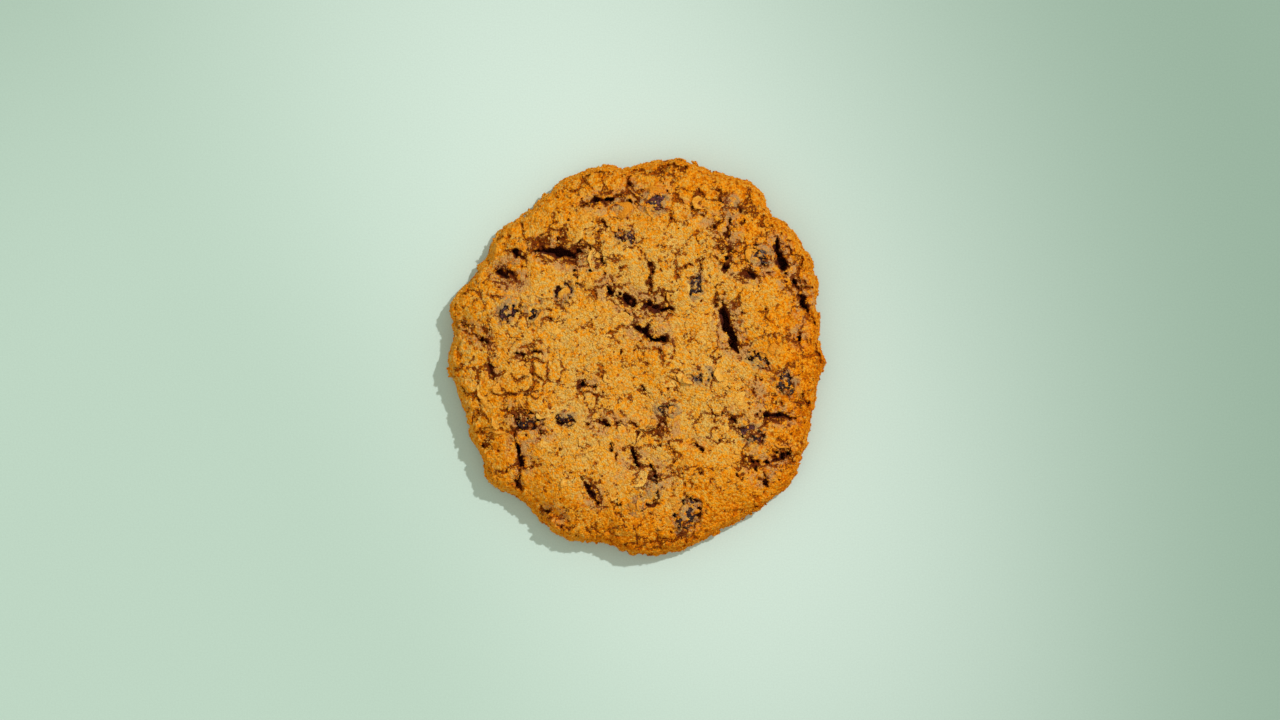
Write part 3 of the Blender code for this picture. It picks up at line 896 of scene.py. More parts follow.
@dataclass
class Cracks:
    """The cracks and pits of the top, drawn as maps seen from above."""

    solid: DoughSolid
    grain: Grain
    step: float = 0.2 * MM
    tear: float = 0.9 * MM
    plates: float = 9.5 * MM
    pieces: float = 4.6 * MM
    wide: np.ndarray = field(init=False)
    thin: np.ndarray = field(init=False)

    def __post_init__(self) -> None:
        """Draws the maps of the wide cracks and of the thin ones."""
        x, y = np.meshgrid(*self.solid.axes(self.step), indexing="ij")
        flat = np.stack([x.ravel(), y.ravel(), 0 * x.ravel()], axis=1)
        grain = self.grain
        _, _, tint, seat = grain.clods(flat + 15 * MM, 1.05 * MM)
        snap = (seat - 15 * MM - flat) * [1, 1, 0]
        wander = [grain.rough(flat + 23 * MM * (k + 1), 2.6 * MM, 2) for k in range(3)]
        wander = np.stack(wander, axis=1)
        wide = self.opened_crevices(flat, flat + 0.72 * snap + wander * self.tear, tint)
        thin = self.hairlines(flat, flat + 0.45 * snap + wander * 1.5 * self.tear)
        inner = eased(self.solid.inset(flat), 0.3 * MM, 1.6 * MM)
        self.wide = (wide * inner - (1 - inner) * MM).reshape(x.shape).astype(np.float32)
        self.thin = np.where(inner > 0.5, thin, -1 * MM).reshape(x.shape).astype(np.float32)

    def opened_crevices(self, flat: np.ndarray, torn: np.ndarray, tint: np.ndarray) -> np.ndarray:
        """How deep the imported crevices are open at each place.

        Args:
            flat: the places.
            torn: where each place reads the crevices.
            tint: a random number for each crumb.

        Returns:
            One depth for each place, below zero where the crevice is shut.
        """
        depth = self.solid.sampled(self.solid.depth, torn)
        greatest = self.solid.sampled(self.solid.greatest, torn)
        shut = 0.44 + 0.50 * self.grain.rough(flat, 4.6 * MM, 2) + 0.56 * (tint - 0.5)
        shut += 0.20 - 0.34 * eased(greatest, 1.2 * MM, 4.0 * MM)
        open_to = 1.9 * (depth - np.clip(shut, 0.08, 0.80) * (greatest + 0.10 * MM))
        open_to = np.minimum(2.4 * open_to, open_to + 0.9 * MM)
        return np.maximum(open_to - (1 - eased(greatest, 0.1 * MM, 0.9 * MM)) * MM, -1 * MM)

    def hairlines(self, flat: np.ndarray, bent: np.ndarray) -> np.ndarray:
        """How near each place lies to a thin crack between two plates, or to a small pit.

        Args:
            flat: the places.
            bent: where each place reads the plates.

        Returns:
            The distance inside a crack, below zero outside it.
        """
        grain = self.grain
        valley = eased(self.solid.sampled(self.solid.basin, flat), 0.04 * MM, 0.5 * MM)
        open_by = 0.11 + 0.66 * grain.rough(flat + 50 * MM, 6.5 * MM, 2) + 0.12 * valley
        line = np.minimum(open_by, 0.5) * MM - grain.from_joints(bent, self.plates)
        open_by = -0.08 + 0.50 * grain.rough(flat + 80 * MM, 5.0 * MM, 2) + 0.26 * valley
        small = np.minimum(open_by, 0.35) * MM - grain.from_joints(bent + 0.4, self.pieces)
        close = eased(np.maximum(line, small), -1.6 * MM, 0)
        near, _, tint, _ = grain.clods(bent + 33 * MM, 1.7 * MM)
        pit = 0.08 + 0.19 * np.maximum(valley, close) + 0.15 * grain.rough(flat + 70 * MM, 7 * MM, 2)
        pit = np.where(tint < 0.6, (pit - near) * 1.7 * MM, -1 * MM)
        return np.maximum(np.maximum(line, small), pit)

    def sampled(self, drawn: np.ndarray, points: np.ndarray) -> np.ndarray:
        """Reads one of the maps.

        Args:
            drawn: the map.
            points: one point a row, of which x and y count.

        Returns:
            One value for each point.
        """
        origin = self.solid.low[:2] - self.solid.margin
        return looked_up(drawn, (points[:, :2] - origin) / self.step)


@dataclass
class RaisinBody:
    """The place, axes and half sizes of one raisin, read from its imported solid."""

    node: str
    middle: np.ndarray = field(init=False)
    axes: np.ndarray = field(init=False)
    half: np.ndarray = field(init=False)

    def __post_init__(self) -> None:
        """Reads the solid."""
        points = points_of(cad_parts[self.node].data).astype(np.float64)
        self.middle = 0.5 * (points.min(0) + points.max(0))
        spread = points - points.mean(0)
        self.axes = np.linalg.eigh(spread.T @ spread)[1].T[::-1]
        along = spread @ self.axes.T
        self.half = 0.5 * (along.max(0) - along.min(0))

    def distance(self, points: np.ndarray) -> np.ndarray:
        """About how far points are from the raisin's skin.

        Args:
            points: one point a row.

        Returns:
            One signed distance for each point, below zero inside.
        """
        away = (points - self.middle) @ self.axes.T
        scaled = np.linalg.norm(away / self.half, axis=1) + 1e-6
        return np.linalg.norm(away, axis=1) * (1 - 1 / scaled)


@dataclass
class Crust:
    """The torn and crumbly crust of the whole cookie, as one skin."""

    solid: DoughSolid
    raisins: list[RaisinBody]
    finish: CrustFinish = CrustFinish()
    step: float = 0.34 * MM
    triangles: int = 196_000
    proud: float = 1.3 * MM
    rough: float = 1.8 * MM
    deepest: float = 5.5 * MM
    lip: float = 0.3 * MM
    crumbs_left: float = 0.70
    # The heading towards which the rim is coloured darker.
    darker_heading: float = math.radians(-20)
    batch: int = 40_000
    seed: int = 5
    grain: Grain = field(init=False)
    cracks: Cracks = field(init=False)

    def __post_init__(self) -> None:
        """Fills the noise that shapes the crumb and draws the cracks."""
        self.grain = Grain(self.seed)
        self.cracks = Cracks(self.solid, self.grain)

    def axes(self) -> list[np.ndarray]:
        """Returns the places of the fine block's values along x, y and z."""
        low = self.solid.low - [self.solid.margin, self.solid.margin, 2 * MM]
        high = self.solid.high + self.solid.margin
        return [np.arange(low[k], high[k] - self.solid.coarse, self.step) for k in range(3)]

    def build(self) -> bpy.types.Object:
        """Makes the crust.

        Returns:
            The crust's object.
        """
        axes = self.axes()
        origin = np.array([axis[0] for axis in axes])
        smooth = self.refined(self.solid.distances(), axes)
        block = smooth.copy()
        near = np.argwhere((smooth < self.proud) & (smooth > -self.reach_below(axes)[:, :, None]))
        points = (origin + near * self.step).astype(np.float32)
        cuts = range(self.batch, len(near), self.batch)
        batches = zip(np.split(points, cuts), np.split(smooth[tuple(near.T)], cuts))
        block[tuple(near.T)] = np.concatenate([self.crumbled(*batch) for batch in batches])
        log.info("crumbled %d places of %d", len(near), block.size)
        skin, faces = largest_part(*skin_of(block, origin, self.step))
        skin[:, 2] = np.maximum(skin[:, 2], self.solid.low[2])
        crust = mesh_object("crust", skin, faces)
        thin = crust.modifiers.new("thin out", "DECIMATE")
        thin.ratio = min(1.0, self.triangles / (2 * len(faces)))
        thin.use_collapse_triangulate = True
        settled(crust)
        self.keep_numbers(crust.data, smooth, block, origin)
        crust.data.materials.append(self.finish.material())
        return crust

    def reach_below(self, axes: Sequence[np.ndarray]) -> np.ndarray:
        """How far below the smooth skin each column of the block can change.

        Args:
            axes: the fine block's places along x, y and z.

        Returns:
            A depth for each column: deep near crevices and raisins, shallow elsewhere.
        """
        x, y = np.meshgrid(axes[0], axes[1], indexing="ij")
        flat = np.stack([x.ravel(), y.ravel(), 0 * x.ravel()], axis=1)
        open_here = self.solid.sampled(softened(self.solid.sunk, 3, 2), flat) > 0.12 * MM
        for raisin in self.raisins:
            away = np.hypot(flat[:, 0] - raisin.middle[0], flat[:, 1] - raisin.middle[1])
            open_here |= away < raisin.half[0] + 0.5 * MM
        return np.where(open_here, self.deepest, self.rough).reshape(x.shape)

    def refined(self, coarse: np.ndarray, axes: Sequence[np.ndarray]) -> np.ndarray:
        """Reads the coarse block at every place of the fine one.

        Args:
            coarse: the coarse distances.
            axes: the fine block's places along x, y and z.

        Returns:
            The fine distances.
        """
        block = coarse
        for axis, places in enumerate(axes):
            share = (places - places[0]) / self.solid.coarse
            low = np.minimum(share.astype(int), block.shape[axis] - 2)
            part = np.clip(share - low, 0, 1).astype(np.float32)
            part = part.reshape([-1 if k == axis else 1 for k in range(3)])
            first = np.take(block, low, axis=axis)
            block = first + (np.take(block, low + 1, axis=axis) - first) * part
        return block

    def crumbled(self, points: np.ndarray, smooth: np.ndarray) -> np.ndarray:
        """Tears, crumbles and pits the smooth dough.

        Args:
            points: the places near its skin, one a row.
            smooth: their distances from the smooth skin.

        Returns:
            Their distances from the finished skin.
        """
        grain, cracks = self.grain, self.cracks
        lift = eased(points[:, 2], 0.2 * MM, 2.6 * MM)
        shape = smooth + 0.3 * lift * self.solid.sampled(self.solid.sunk, points)
        above = points[:, 2] - self.solid.sampled(self.solid.closed, points)
        sway = np.stack([grain.at(points + 25 * MM * k, 1.7 * MM) for k in (1, 2, 3)], axis=1)
        wide = cracks.sampled(cracks.wide, points + 0.3 * MM * sway)
        thin = cracks.sampled(cracks.thin, points + 0.2 * MM * sway)
        crack = 0.5 * (above + wide)
        lip = np.maximum(self.lip - np.abs(shape - crack), 0)
        shape = np.maximum(shape, crack) + lip**2 / (4 * self.lip)
        shape -= lift * self.lumps(grain, points)
        core = np.maximum(np.minimum(3.6 * thin, 1.4 * MM), wide - 0.8 * MM)
        shape = np.maximum(shape, 0.6 * (above + core))
        for raisin in self.raisins:
            shape = self.opened(shape, points, raisin)
        return shape

    def lumps(self, grain: Grain, points: np.ndarray) -> np.ndarray:
        """How far the dough's clods, grains and pores stand out of the smooth skin.

        Args:
            grain: the noise to use.
            points: one point a row.

        Returns:
            One height for each point, below zero in a pore.
        """
        shift = np.stack([grain.rough(points + 40 * MM * (k + 1), 3 * MM, 2) for k in range(3)], axis=1)
        bent = points + shift * 0.6 * MM
        soft = 0.27 * grain.rough(points, 6.5 * MM, 2) + 0.14 * grain.at(points + 30 * MM, 2.8 * MM)
        near, _, tint, _ = grain.clods(bent, 1.9 * MM)
        crumb = 0.34 * (0.5 - near**2) * np.where(tint > 0.9, -1.2, 0.5 + tint)
        near, _, tint, _ = grain.clods(bent + 9 * MM, 1.05 * MM)
        fine = 0.25 * (0.5 - near**2) * (0.4 + 1.2 * tint)
        near, _, tint, _ = grain.clods(points + shift * 0.35 * MM, 2.7 * MM)
        rim = 1 - eased(self.solid.inset(points), 0, 5 * MM)
        pit = 1.1 * (1 - eased(near, 0.10, 0.24)) * (tint < 0.42 + 0.3 * rim)
        near, _, tint, _ = grain.clods(bent + 70 * MM, 3.4 * MM)
        chunk = rim * (0.40 - near**2) * np.where(tint > 0.88, -2.0, 0.8 + 2.6 * tint)
        return (soft + crumb * (1 + 2.9 * rim) + chunk + fine * (1 + rim) - pit) * MM

    def opened(self, shape: np.ndarray, points: np.ndarray, raisin: RaisinBody) -> np.ndarray:
        """Lays dough over a raisin and tears a ragged opening in it.

        Args:
            shape: the distances so far.
            points: their places.
            raisin: the raisin.

        Returns:
            The new distances.
        """
        reach = raisin.half.max() + 2 * MM
        close = np.flatnonzero(np.abs(points - raisin.middle).max(1) < reach)
        if not len(close):
            return shape
        spots = points[close]
        away = raisin.distance(spots)
        grain = self.grain
        bump = grain.rough(spots, 1.8 * MM, 2)
        covered = np.minimum(shape[close], away - (0.45 + 0.2 * bump) * MM)
        _, _, tint, seat = grain.clods(spots + 60 * MM, 1.0 * MM)
        seat = spots + (seat - 60 * MM - spots) * 0.85
        flat = (seat - raisin.middle) @ raisin.axes.T
        ring = np.linalg.norm(flat[:, :2] / raisin.half[:2], axis=1) - BARE.get(raisin.node, USUALLY_BARE)
        mouth = ring * raisin.half[1] + 1.0 * MM * grain.rough(seat + 5 * MM, 2.2 * MM, 2)
        mouth = np.where(tint > self.crumbs_left, 1.0 * MM, mouth)
        hole = np.minimum(-mouth, away + 1.2 * MM)
        hole = np.minimum(hole, spots[:, 2] - raisin.middle[2])
        shape = shape.copy()
        shape[close] = np.maximum(covered, hole)
        return shape

    def keep_numbers(
        self, mesh: bpy.types.Mesh, smooth: np.ndarray, block: np.ndarray, origin: np.ndarray
    ) -> None:
        """Keeps how browned, concave, deep and sunken each point is, and its cracks, from which the material
        paints shade.

        Args:
            mesh: the crust's mesh.
            smooth: the distances from the smooth dough.
            block: the distances from the finished skin.
            origin: where both blocks start.
        """
        points = points_of(mesh)
        places = (points - origin) / self.step
        filled = (block < 0).astype(np.float32)
        store(mesh, "cavity", looked_up(softened(filled, 2, 2), places))
        store(mesh, "depth", -looked_up(smooth, places) / MM)
        store(mesh, "browning", self.browning(points))
        store(mesh, "veil", 1 - eased(self.from_raisins(points), 0.3 * MM, 1.5 * MM))
        store(mesh, "valley", eased(self.solid.sampled(self.solid.basin, points), 0.04 * MM, 0.6 * MM))
        store(mesh, "wide", self.cracks.sampled(self.cracks.wide, points) / MM)
        store(mesh, "thin", self.cracks.sampled(self.cracks.thin, points) / MM)

    def from_raisins(self, points: np.ndarray) -> np.ndarray:
        """About how far each point is from the nearest raisin.

        Args:
            points: one point a row.

        Returns:
            One distance for each point.
        """
        nearest = np.full(len(points), 1.0)
        for raisin in self.raisins:
            close = np.flatnonzero(np.abs(points - raisin.middle).max(1) < raisin.half.max() + 2 * MM)
            nearest[close] = np.minimum(nearest[close], raisin.distance(points[close]))
        return nearest

    def browning(self, points: np.ndarray) -> np.ndarray:
        """How browned the crust is at each point.

        Args:
            points: one point a row.

        Returns:
            0 where it is palest to 1 where it is darkest.
        """
        inset = self.solid.inset(points)
        rim = 1 - eased(inset, 1 * MM, 24 * MM)
        edge = 1 - eased(inset, 0, 4 * MM)
        patches = Grain(self.seed + 3).rough(points, 14 * MM, 2)
        # The rim is coloured darker towards one heading, 20 degrees clockwise from +X.
        side = np.cos(np.arctan2(points[:, 1], points[:, 0]) - self.darker_heading)
        return np.clip(0.22 + (0.33 + 0.14 * side) * rim + 0.06 * edge + 0.12 * patches, 0, 1)


# ---------------------------------------------------------------- raisins, oats and crumbs


@dataclass
class WrinkledRaisin:
    """One dried raisin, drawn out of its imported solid."""

    body: RaisinBody
    material: bpy.types.Material
    levels: int = 3
    fold: float = 0.55 * MM
    seed: int = 70

    def build(self) -> bpy.types.Object:
        """Makes the raisin.

        Returns:
            The raisin's object.
        """
        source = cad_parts[self.body.node]
        made = bpy.data.objects.new(f"wrinkled_{self.body.node}", source.data.copy())
        bpy.context.scene.collection.objects.link(made)
        made.modifiers.new("join", "WELD").merge_threshold = 0.01 * MM
        finer = made.modifiers.new("finer", "SUBSURF")
        finer.levels = finer.render_levels = self.levels
        settled(made)
        points, normals = points_of(made.data), normals_of(made.data)
        fold = self.folds(points)
        points = points + normals * self.fold * (fold[:, None] - 0.75)
        made.data.vertices.foreach_set("co", points.astype(np.float32).ravel())
        made.data.update()
        made.data.shade_smooth()
        store(made.data, "fold", fold)
        made.data.materials.clear()
        made.data.materials.append(self.material)
        return made

    def folds(self, points: np.ndarray) -> np.ndarray:
        """How high the skin's wrinkles stand, running along the raisin.

        Args:
            points: the raisin's points.

        Returns:
            One height for each point, about 0 in a furrow and 1 on a fold.
        """
        grain = Grain(self.seed, 32)
        along = (points - self.body.middle) @ self.body.axes.T * [0.55, 1, 1]
        along += 20 * MM + self.body.middle.sum()
        shift = np.stack([grain.rough(along + 9 * MM * k, 2.2 * MM, 2) for k in range(3)], axis=1)
        bent = along + shift * 0.6 * MM
        coarse = 1 - np.abs(grain.at(bent, 1.5 * MM)) * 2.4
        fine = 1 - np.abs(grain.at(bent + 30 * MM, 0.75 * MM)) * 2.2
        return 0.75 * coarse + 0.3 * fine


# How wide the dough is torn open over a raisin, as a share of the raisin, usually and where it differs.
USUALLY_BARE = 0.72
BARE: dict[str, float] = {
    "raisin_south_rim": 1.08,
    "raisin_round": 0.9,
    "raisin_south": 0.8,
    "raisin_south_west": 0.9,
    "raisin_east_gap": 0.85,
    "raisin_east_rim": 0.85,
    "raisin_west": 0.85,
    "raisin_bow": 0.8,
    "raisin_north": 0.7,
    "raisin_middle": 0.6,
}


def kind_of(node: str) -> RaisinKind:
    """How one raisin has dried.

    Args:
        node: the raisin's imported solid.

    Returns:
        The kind, black unless it is one of the others.
    """
    red = ("west", "bow", "south_east", "north_rim", "north", "upper")
    dusty = ("west_inner", "inner_north", "east", "north_east", "slit", "middle", "north_west")
    place = node.removeprefix("raisin_")
    if place in red:
        return RaisinKind.RED
    return RaisinKind.DUSTY if place in dusty else RaisinKind.BLACK


@dataclass
class Surface:
    """The skin of one or more pieces as a place to set things on."""

    pieces: list[bpy.types.Object]
    seed: int = 11

    def __post_init__(self) -> None:
        """Reads the pieces' triangles and the numbers that they keep."""
        meshes = [piece.data for piece in self.pieces]
        starts = np.cumsum([0] + [len(mesh.vertices) for mesh in meshes])
        self.points = np.concatenate([points_of(mesh) for mesh in meshes])
        self.normals = np.concatenate([normals_of(mesh) for mesh in meshes])
        self.triangles = np.concatenate([triangles_of(mesh) + at for mesh, at in zip(meshes, starts)])
        corners = self.points[self.triangles]
        crossed = np.cross(corners[:, 1] - corners[:, 0], corners[:, 2] - corners[:, 0])
        self.areas = 0.5 * np.linalg.norm(crossed, axis=1)
        usual = {"depth": 0.0, "browning": 0.35, "veil": 0.6, "valley": 0.0}
        self.numbers = {
            name: np.concatenate([self.kept(mesh, name, value) for mesh in meshes])
            for name, value in usual.items()
        }

    def kept(self, mesh: bpy.types.Mesh, name: str, usual: float) -> np.ndarray:
        """Reads the numbers that a mesh keeps under a name.

        Args:
            mesh: the mesh.
            name: the attribute's name.
            usual: the number that stands in where the mesh keeps none.

        Returns:
            One number for each point.
        """
        values = np.full(len(mesh.vertices), usual, np.float32)
        if name in mesh.attributes:
            mesh.attributes[name].data.foreach_get("value", values)
        return values

    def spots(
        self, count: int, open_only: float, upright: float, seed: int, lowest: float = 9.0
    ) -> dict[str, np.ndarray]:
        """Picks places at random over the skin.

        Args:
            count: how many places are picked.
            open_only: the deepest that a place may lie under the smooth dough, in millimetres.
            upright: the least that the skin may face upwards there, 1 where it lies flat.
            seed: the seed of the choice.
            lowest: the most that the place may lie in a valley, 1 at the bottom of one.

        Returns:
            Their points, normals, depth, browning and veil, in rows.
        """
        chance = np.random.default_rng(self.seed + seed)
        deep = self.numbers["depth"][self.triangles].mean(1)
        high = self.points[self.triangles][:, :, 2].mean(1)
        facing = self.normals[self.triangles][:, :, 2].mean(1)
        weight = self.areas * (deep < open_only) * (high > 0.8 * MM) * (facing > upright)
        weight *= np.where(facing < 0.5, 1.6, 1.0)
        weight *= self.numbers["valley"][self.triangles].mean(1) < lowest
        picked = chance.choice(len(weight), count, p=weight / weight.sum())
        corners = self.triangles[picked]
        share = chance.dirichlet((1, 1, 1), count)[:, :, None]
        normals = (self.normals[corners] * share).sum(1)
        normals /= np.linalg.norm(normals, axis=1)[:, None]
        return {
            "points": (self.points[corners] * share).sum(1),
            "normals": normals,
            **{name: (kept[corners] * share[:, :, 0]).sum(1) for name, kept in self.numbers.items()},
        }


def turned_frames(normals: np.ndarray, turns: np.ndarray) -> np.ndarray:
    """Axes that stand on a skin.

    Args:
        normals: the direction of each third axis.
        turns: how far each first axis is turned round it.

    Returns:
        One matrix for each normal, with the three axes as rows.
    """
    helper = np.where(np.abs(normals[:, 2:]) < 0.9, [[0.0, 0.0, 1.0]], [[1.0, 0.0, 0.0]])
    first = np.cross(helper, normals)
    first /= np.linalg.norm(first, axis=1)[:, None]
    second = np.cross(normals, first)
    c, s = np.cos(turns)[:, None], np.sin(turns)[:, None]
    return np.stack([c * first + s * second, c * second - s * first, normals], axis=1)


@dataclass
class OatFlakes:
    """Rolled oats that lie in the crust, half buried."""

    surface: Surface
    solid: DoughSolid
    finish: OatFinish = OatFinish()
    count: int = 230
    from_rim: float = 4.5 * MM
    length: tuple[float, float] = (2.6 * MM, 5.4 * MM)
    slimness: tuple[float, float] = (0.5, 0.8)
    thickness: float = 0.38 * MM
    rings: int = 5
    segments: int = 16
    seed: int = 2

    def build(self) -> bpy.types.Object:
        """Makes every flake in one mesh.

        Returns:
            The flakes' object.
        """
        chance = np.random.default_rng(self.seed)
        spots = self.surface.spots(self.count, 0.9, 0.82, self.seed, 0.4)
        inside = np.flatnonzero(self.solid.inset(spots["points"]) > self.from_rim)
        spots = {name: kept[inside] for name, kept in spots.items()}
        axes = turned_frames(spots["normals"], chance.uniform(0, math.tau, len(inside)))
        points, faces, tones = [], [], []
        flat, face = self.plan()
        for k in range(len(inside)):
            shape = self.flake(flat, chance)
            lean = chance.normal(0, 0.17, 3)
            frame_k = axes[k] + np.cross(axes[k], lean)
            sunk = spots["points"][k] - axes[k][2] * chance.uniform(0.3, 0.7) * MM
            faces.append(face + len(flat) * k)
            points.append(sunk + shape @ frame_k)
            tones.append(np.full(len(flat), spots["browning"][k] * 1.5 + chance.normal(0.05, 0.2)))
        points = np.concatenate(points)
        points[:, 2] = np.maximum(points[:, 2], 0.05 * MM)
        made = mesh_object("oat_flakes", points, np.concatenate(faces))
        store(made.data, "tone", np.concatenate(tones))
        made.data.materials.append(self.finish.material())
        return made

    def plan(self) -> tuple[np.ndarray, np.ndarray]:
        """The points of a flat round flake, in units of its half length, and its faces.

        Returns:
            Points whose third number is 1 on top and -1 below, and faces of four corners.
        """
        points, faces = [], []
        turns = np.arange(self.segments) * math.tau / self.segments
        radii = [*np.linspace(0.02, 0.93, self.rings), 1.0]
        rows = [(r, 1.0) for r in radii[:-1]] + [(1.0, 0.0)] + [(r, -1.0) for r in radii[-2::-1]]
        for radius, side in rows:
            points += [(radius * math.cos(t), radius * math.sin(t), side) for t in turns]
        for row in range(len(rows) - 1):
            for k in range(self.segments):
                m = (k + 1) % self.segments
                a, b = row * self.segments, (row + 1) * self.segments
                faces.append((a + k, b + k, b + m, a + m))
        for a, sign in ((0, 1), ((len(rows) - 1) * self.segments, -1)):
            ring = [a + k for k in range(self.segments)][::sign]
            half = self.segments // 2
            faces += [(ring[k], ring[k + 1], ring[-k - 2], ring[-k - 1]) for k in range(half - 1)]
        return np.array(points), np.array(faces)

    def flake(self, flat: np.ndarray, chance: np.random.Generator) -> np.ndarray:
        """Shapes one flake.

        Args:
            flat: the flat flake's points.
            chance: the source of its sizes.

        Returns:
            Its points, lying flat round its middle.
        """
        half = 0.5 * chance.uniform(*self.length)
        slim = chance.uniform(*self.slimness)
        x, y, side = flat.T
        turn = np.arctan2(y, x)
        radius = np.hypot(x, y)
        waves = ((2, 0.1), (3, 0.1), (5, 0.07), (8, 0.05))
        ragged = 1 + sum(size * np.sin(k * turn + chance.uniform(0, 6)) for k, size in waves)
        px, py = x * ragged * half, y * ragged * half * slim
        groove = -0.22 * np.exp(-((y / 0.16) ** 2)) * (radius < 0.9)
        bend = chance.normal(0, 0.9, 2)
        wave = 0.12 * np.sin(4 * x + chance.uniform(0, 6)) * np.cos(3 * y)
        sag = (bend[0] * (x**2 - 0.3) * 0.35 + bend[1] * (y**2 - 0.3) * 0.25 + wave) * 0.5 * half
        edge = np.sqrt(np.clip(1 - (radius * 0.96) ** 4, 0, 1))
        pz = side * 0.5 * self.thickness * edge * (1 + groove) + groove * self.thickness * (side > 0)
        return np.stack([px, py, pz + sag], axis=1)


@dataclass
class Crumbs:
    """Loose grains of baked dough that cling to the crust."""

    surface: Surface
    material: bpy.types.Material
    name: str = "dough_crumbs"
    count: int = 9_400
    radius: tuple[float, float] = (0.2 * MM, 0.5 * MM)
    deepest: float = 1.6
    sides: int = 20
    seed: int = 3
    upright: float = -0.5

    def build(self) -> bpy.types.Object:
        """Makes every crumb in one mesh.

        Returns:
            The crumbs' object.
        """
        chance = np.random.default_rng(self.seed)
        spots = self.surface.spots(self.count, self.deepest, self.upright, self.seed)
        axes = turned_frames(spots["normals"], chance.uniform(0, math.tau, self.count))
        ball, face = self.ball()
        low, high = self.radius
        size = low + (high - low) * chance.random(self.count) ** 2.2
        jitter = chance.uniform(0.62, 1.25, (self.count, len(ball), 1))
        shapes = ball[None] * jitter * size[:, None, None] * chance.uniform(0.7, 1.3, (self.count, 1, 3))
        shapes = np.einsum("nvi,nij->nvj", shapes, axes)
        sunk = spots["points"] - axes[:, 2] * (size * chance.uniform(0.0, 0.6, self.count))[:, None]
        points = (shapes + sunk[:, None]).reshape(-1, 3)
        points[:, 2] = np.maximum(points[:, 2], 0.05 * MM)
        faces = (face[None] + len(ball) * np.arange(self.count)[:, None, None]).reshape(-1, 3)
        made = mesh_object(self.name, points, faces)
        tone = np.clip(spots["browning"] + chance.normal(0, 0.16, self.count), 0, 1)
        store(made.data, "browning", np.repeat(tone, len(ball)))
        store(made.data, "cavity", np.repeat(chance.uniform(0.4, 0.56, self.count), len(ball)))
        store(made.data, "depth", np.repeat(np.maximum(spots["depth"], 0), len(ball)))
        store(made.data, "valley", np.zeros(len(points)))
        store(made.data, "veil", np.repeat(spots["veil"], len(ball)))
        store(made.data, "wide", np.full(len(points), -1.0))
        store(made.data, "thin", np.full(len(points), -1.0))
        made.data.materials.append(self.material)
        return made

    def ball(self) -> tuple[np.ndarray, np.ndarray]:
        """A small round body with eight or twenty faces.

        Returns:
            Its points and its triangles.
        """
        if self.sides == 8:
            points = np.concatenate([np.eye(3), -np.eye(3)])
        else:
            golden = (1 + math.sqrt(5)) / 2
            points = [(0, a, b * golden) for a in (-1, 1) for b in (-1, 1)]
            points += [(a, b * golden, 0) for a in (-1, 1) for b in (-1, 1)]
            points += [(b * golden, 0, a) for a in (-1, 1) for b in (-1, 1)]
            points = np.array(points, float)
            points /= np.linalg.norm(points, axis=1)[:, None]
        longest = {8: 1.5, 20: 1.1}[self.sides]
        faces = []
        for a, b, c in itertools.combinations(range(len(points)), 3):
            lengths = [np.linalg.norm(points[i] - points[j]) for i, j in ((a, b), (b, c), (c, a))]
            if max(lengths) < longest:
                out = np.dot(np.cross(points[b] - points[a], points[c] - points[a]), points[a])
                faces.append((a, b, c) if out > 0 else (a, c, b))
        return points, np.array(faces)


# ---------------------------------------------------------------- the studio


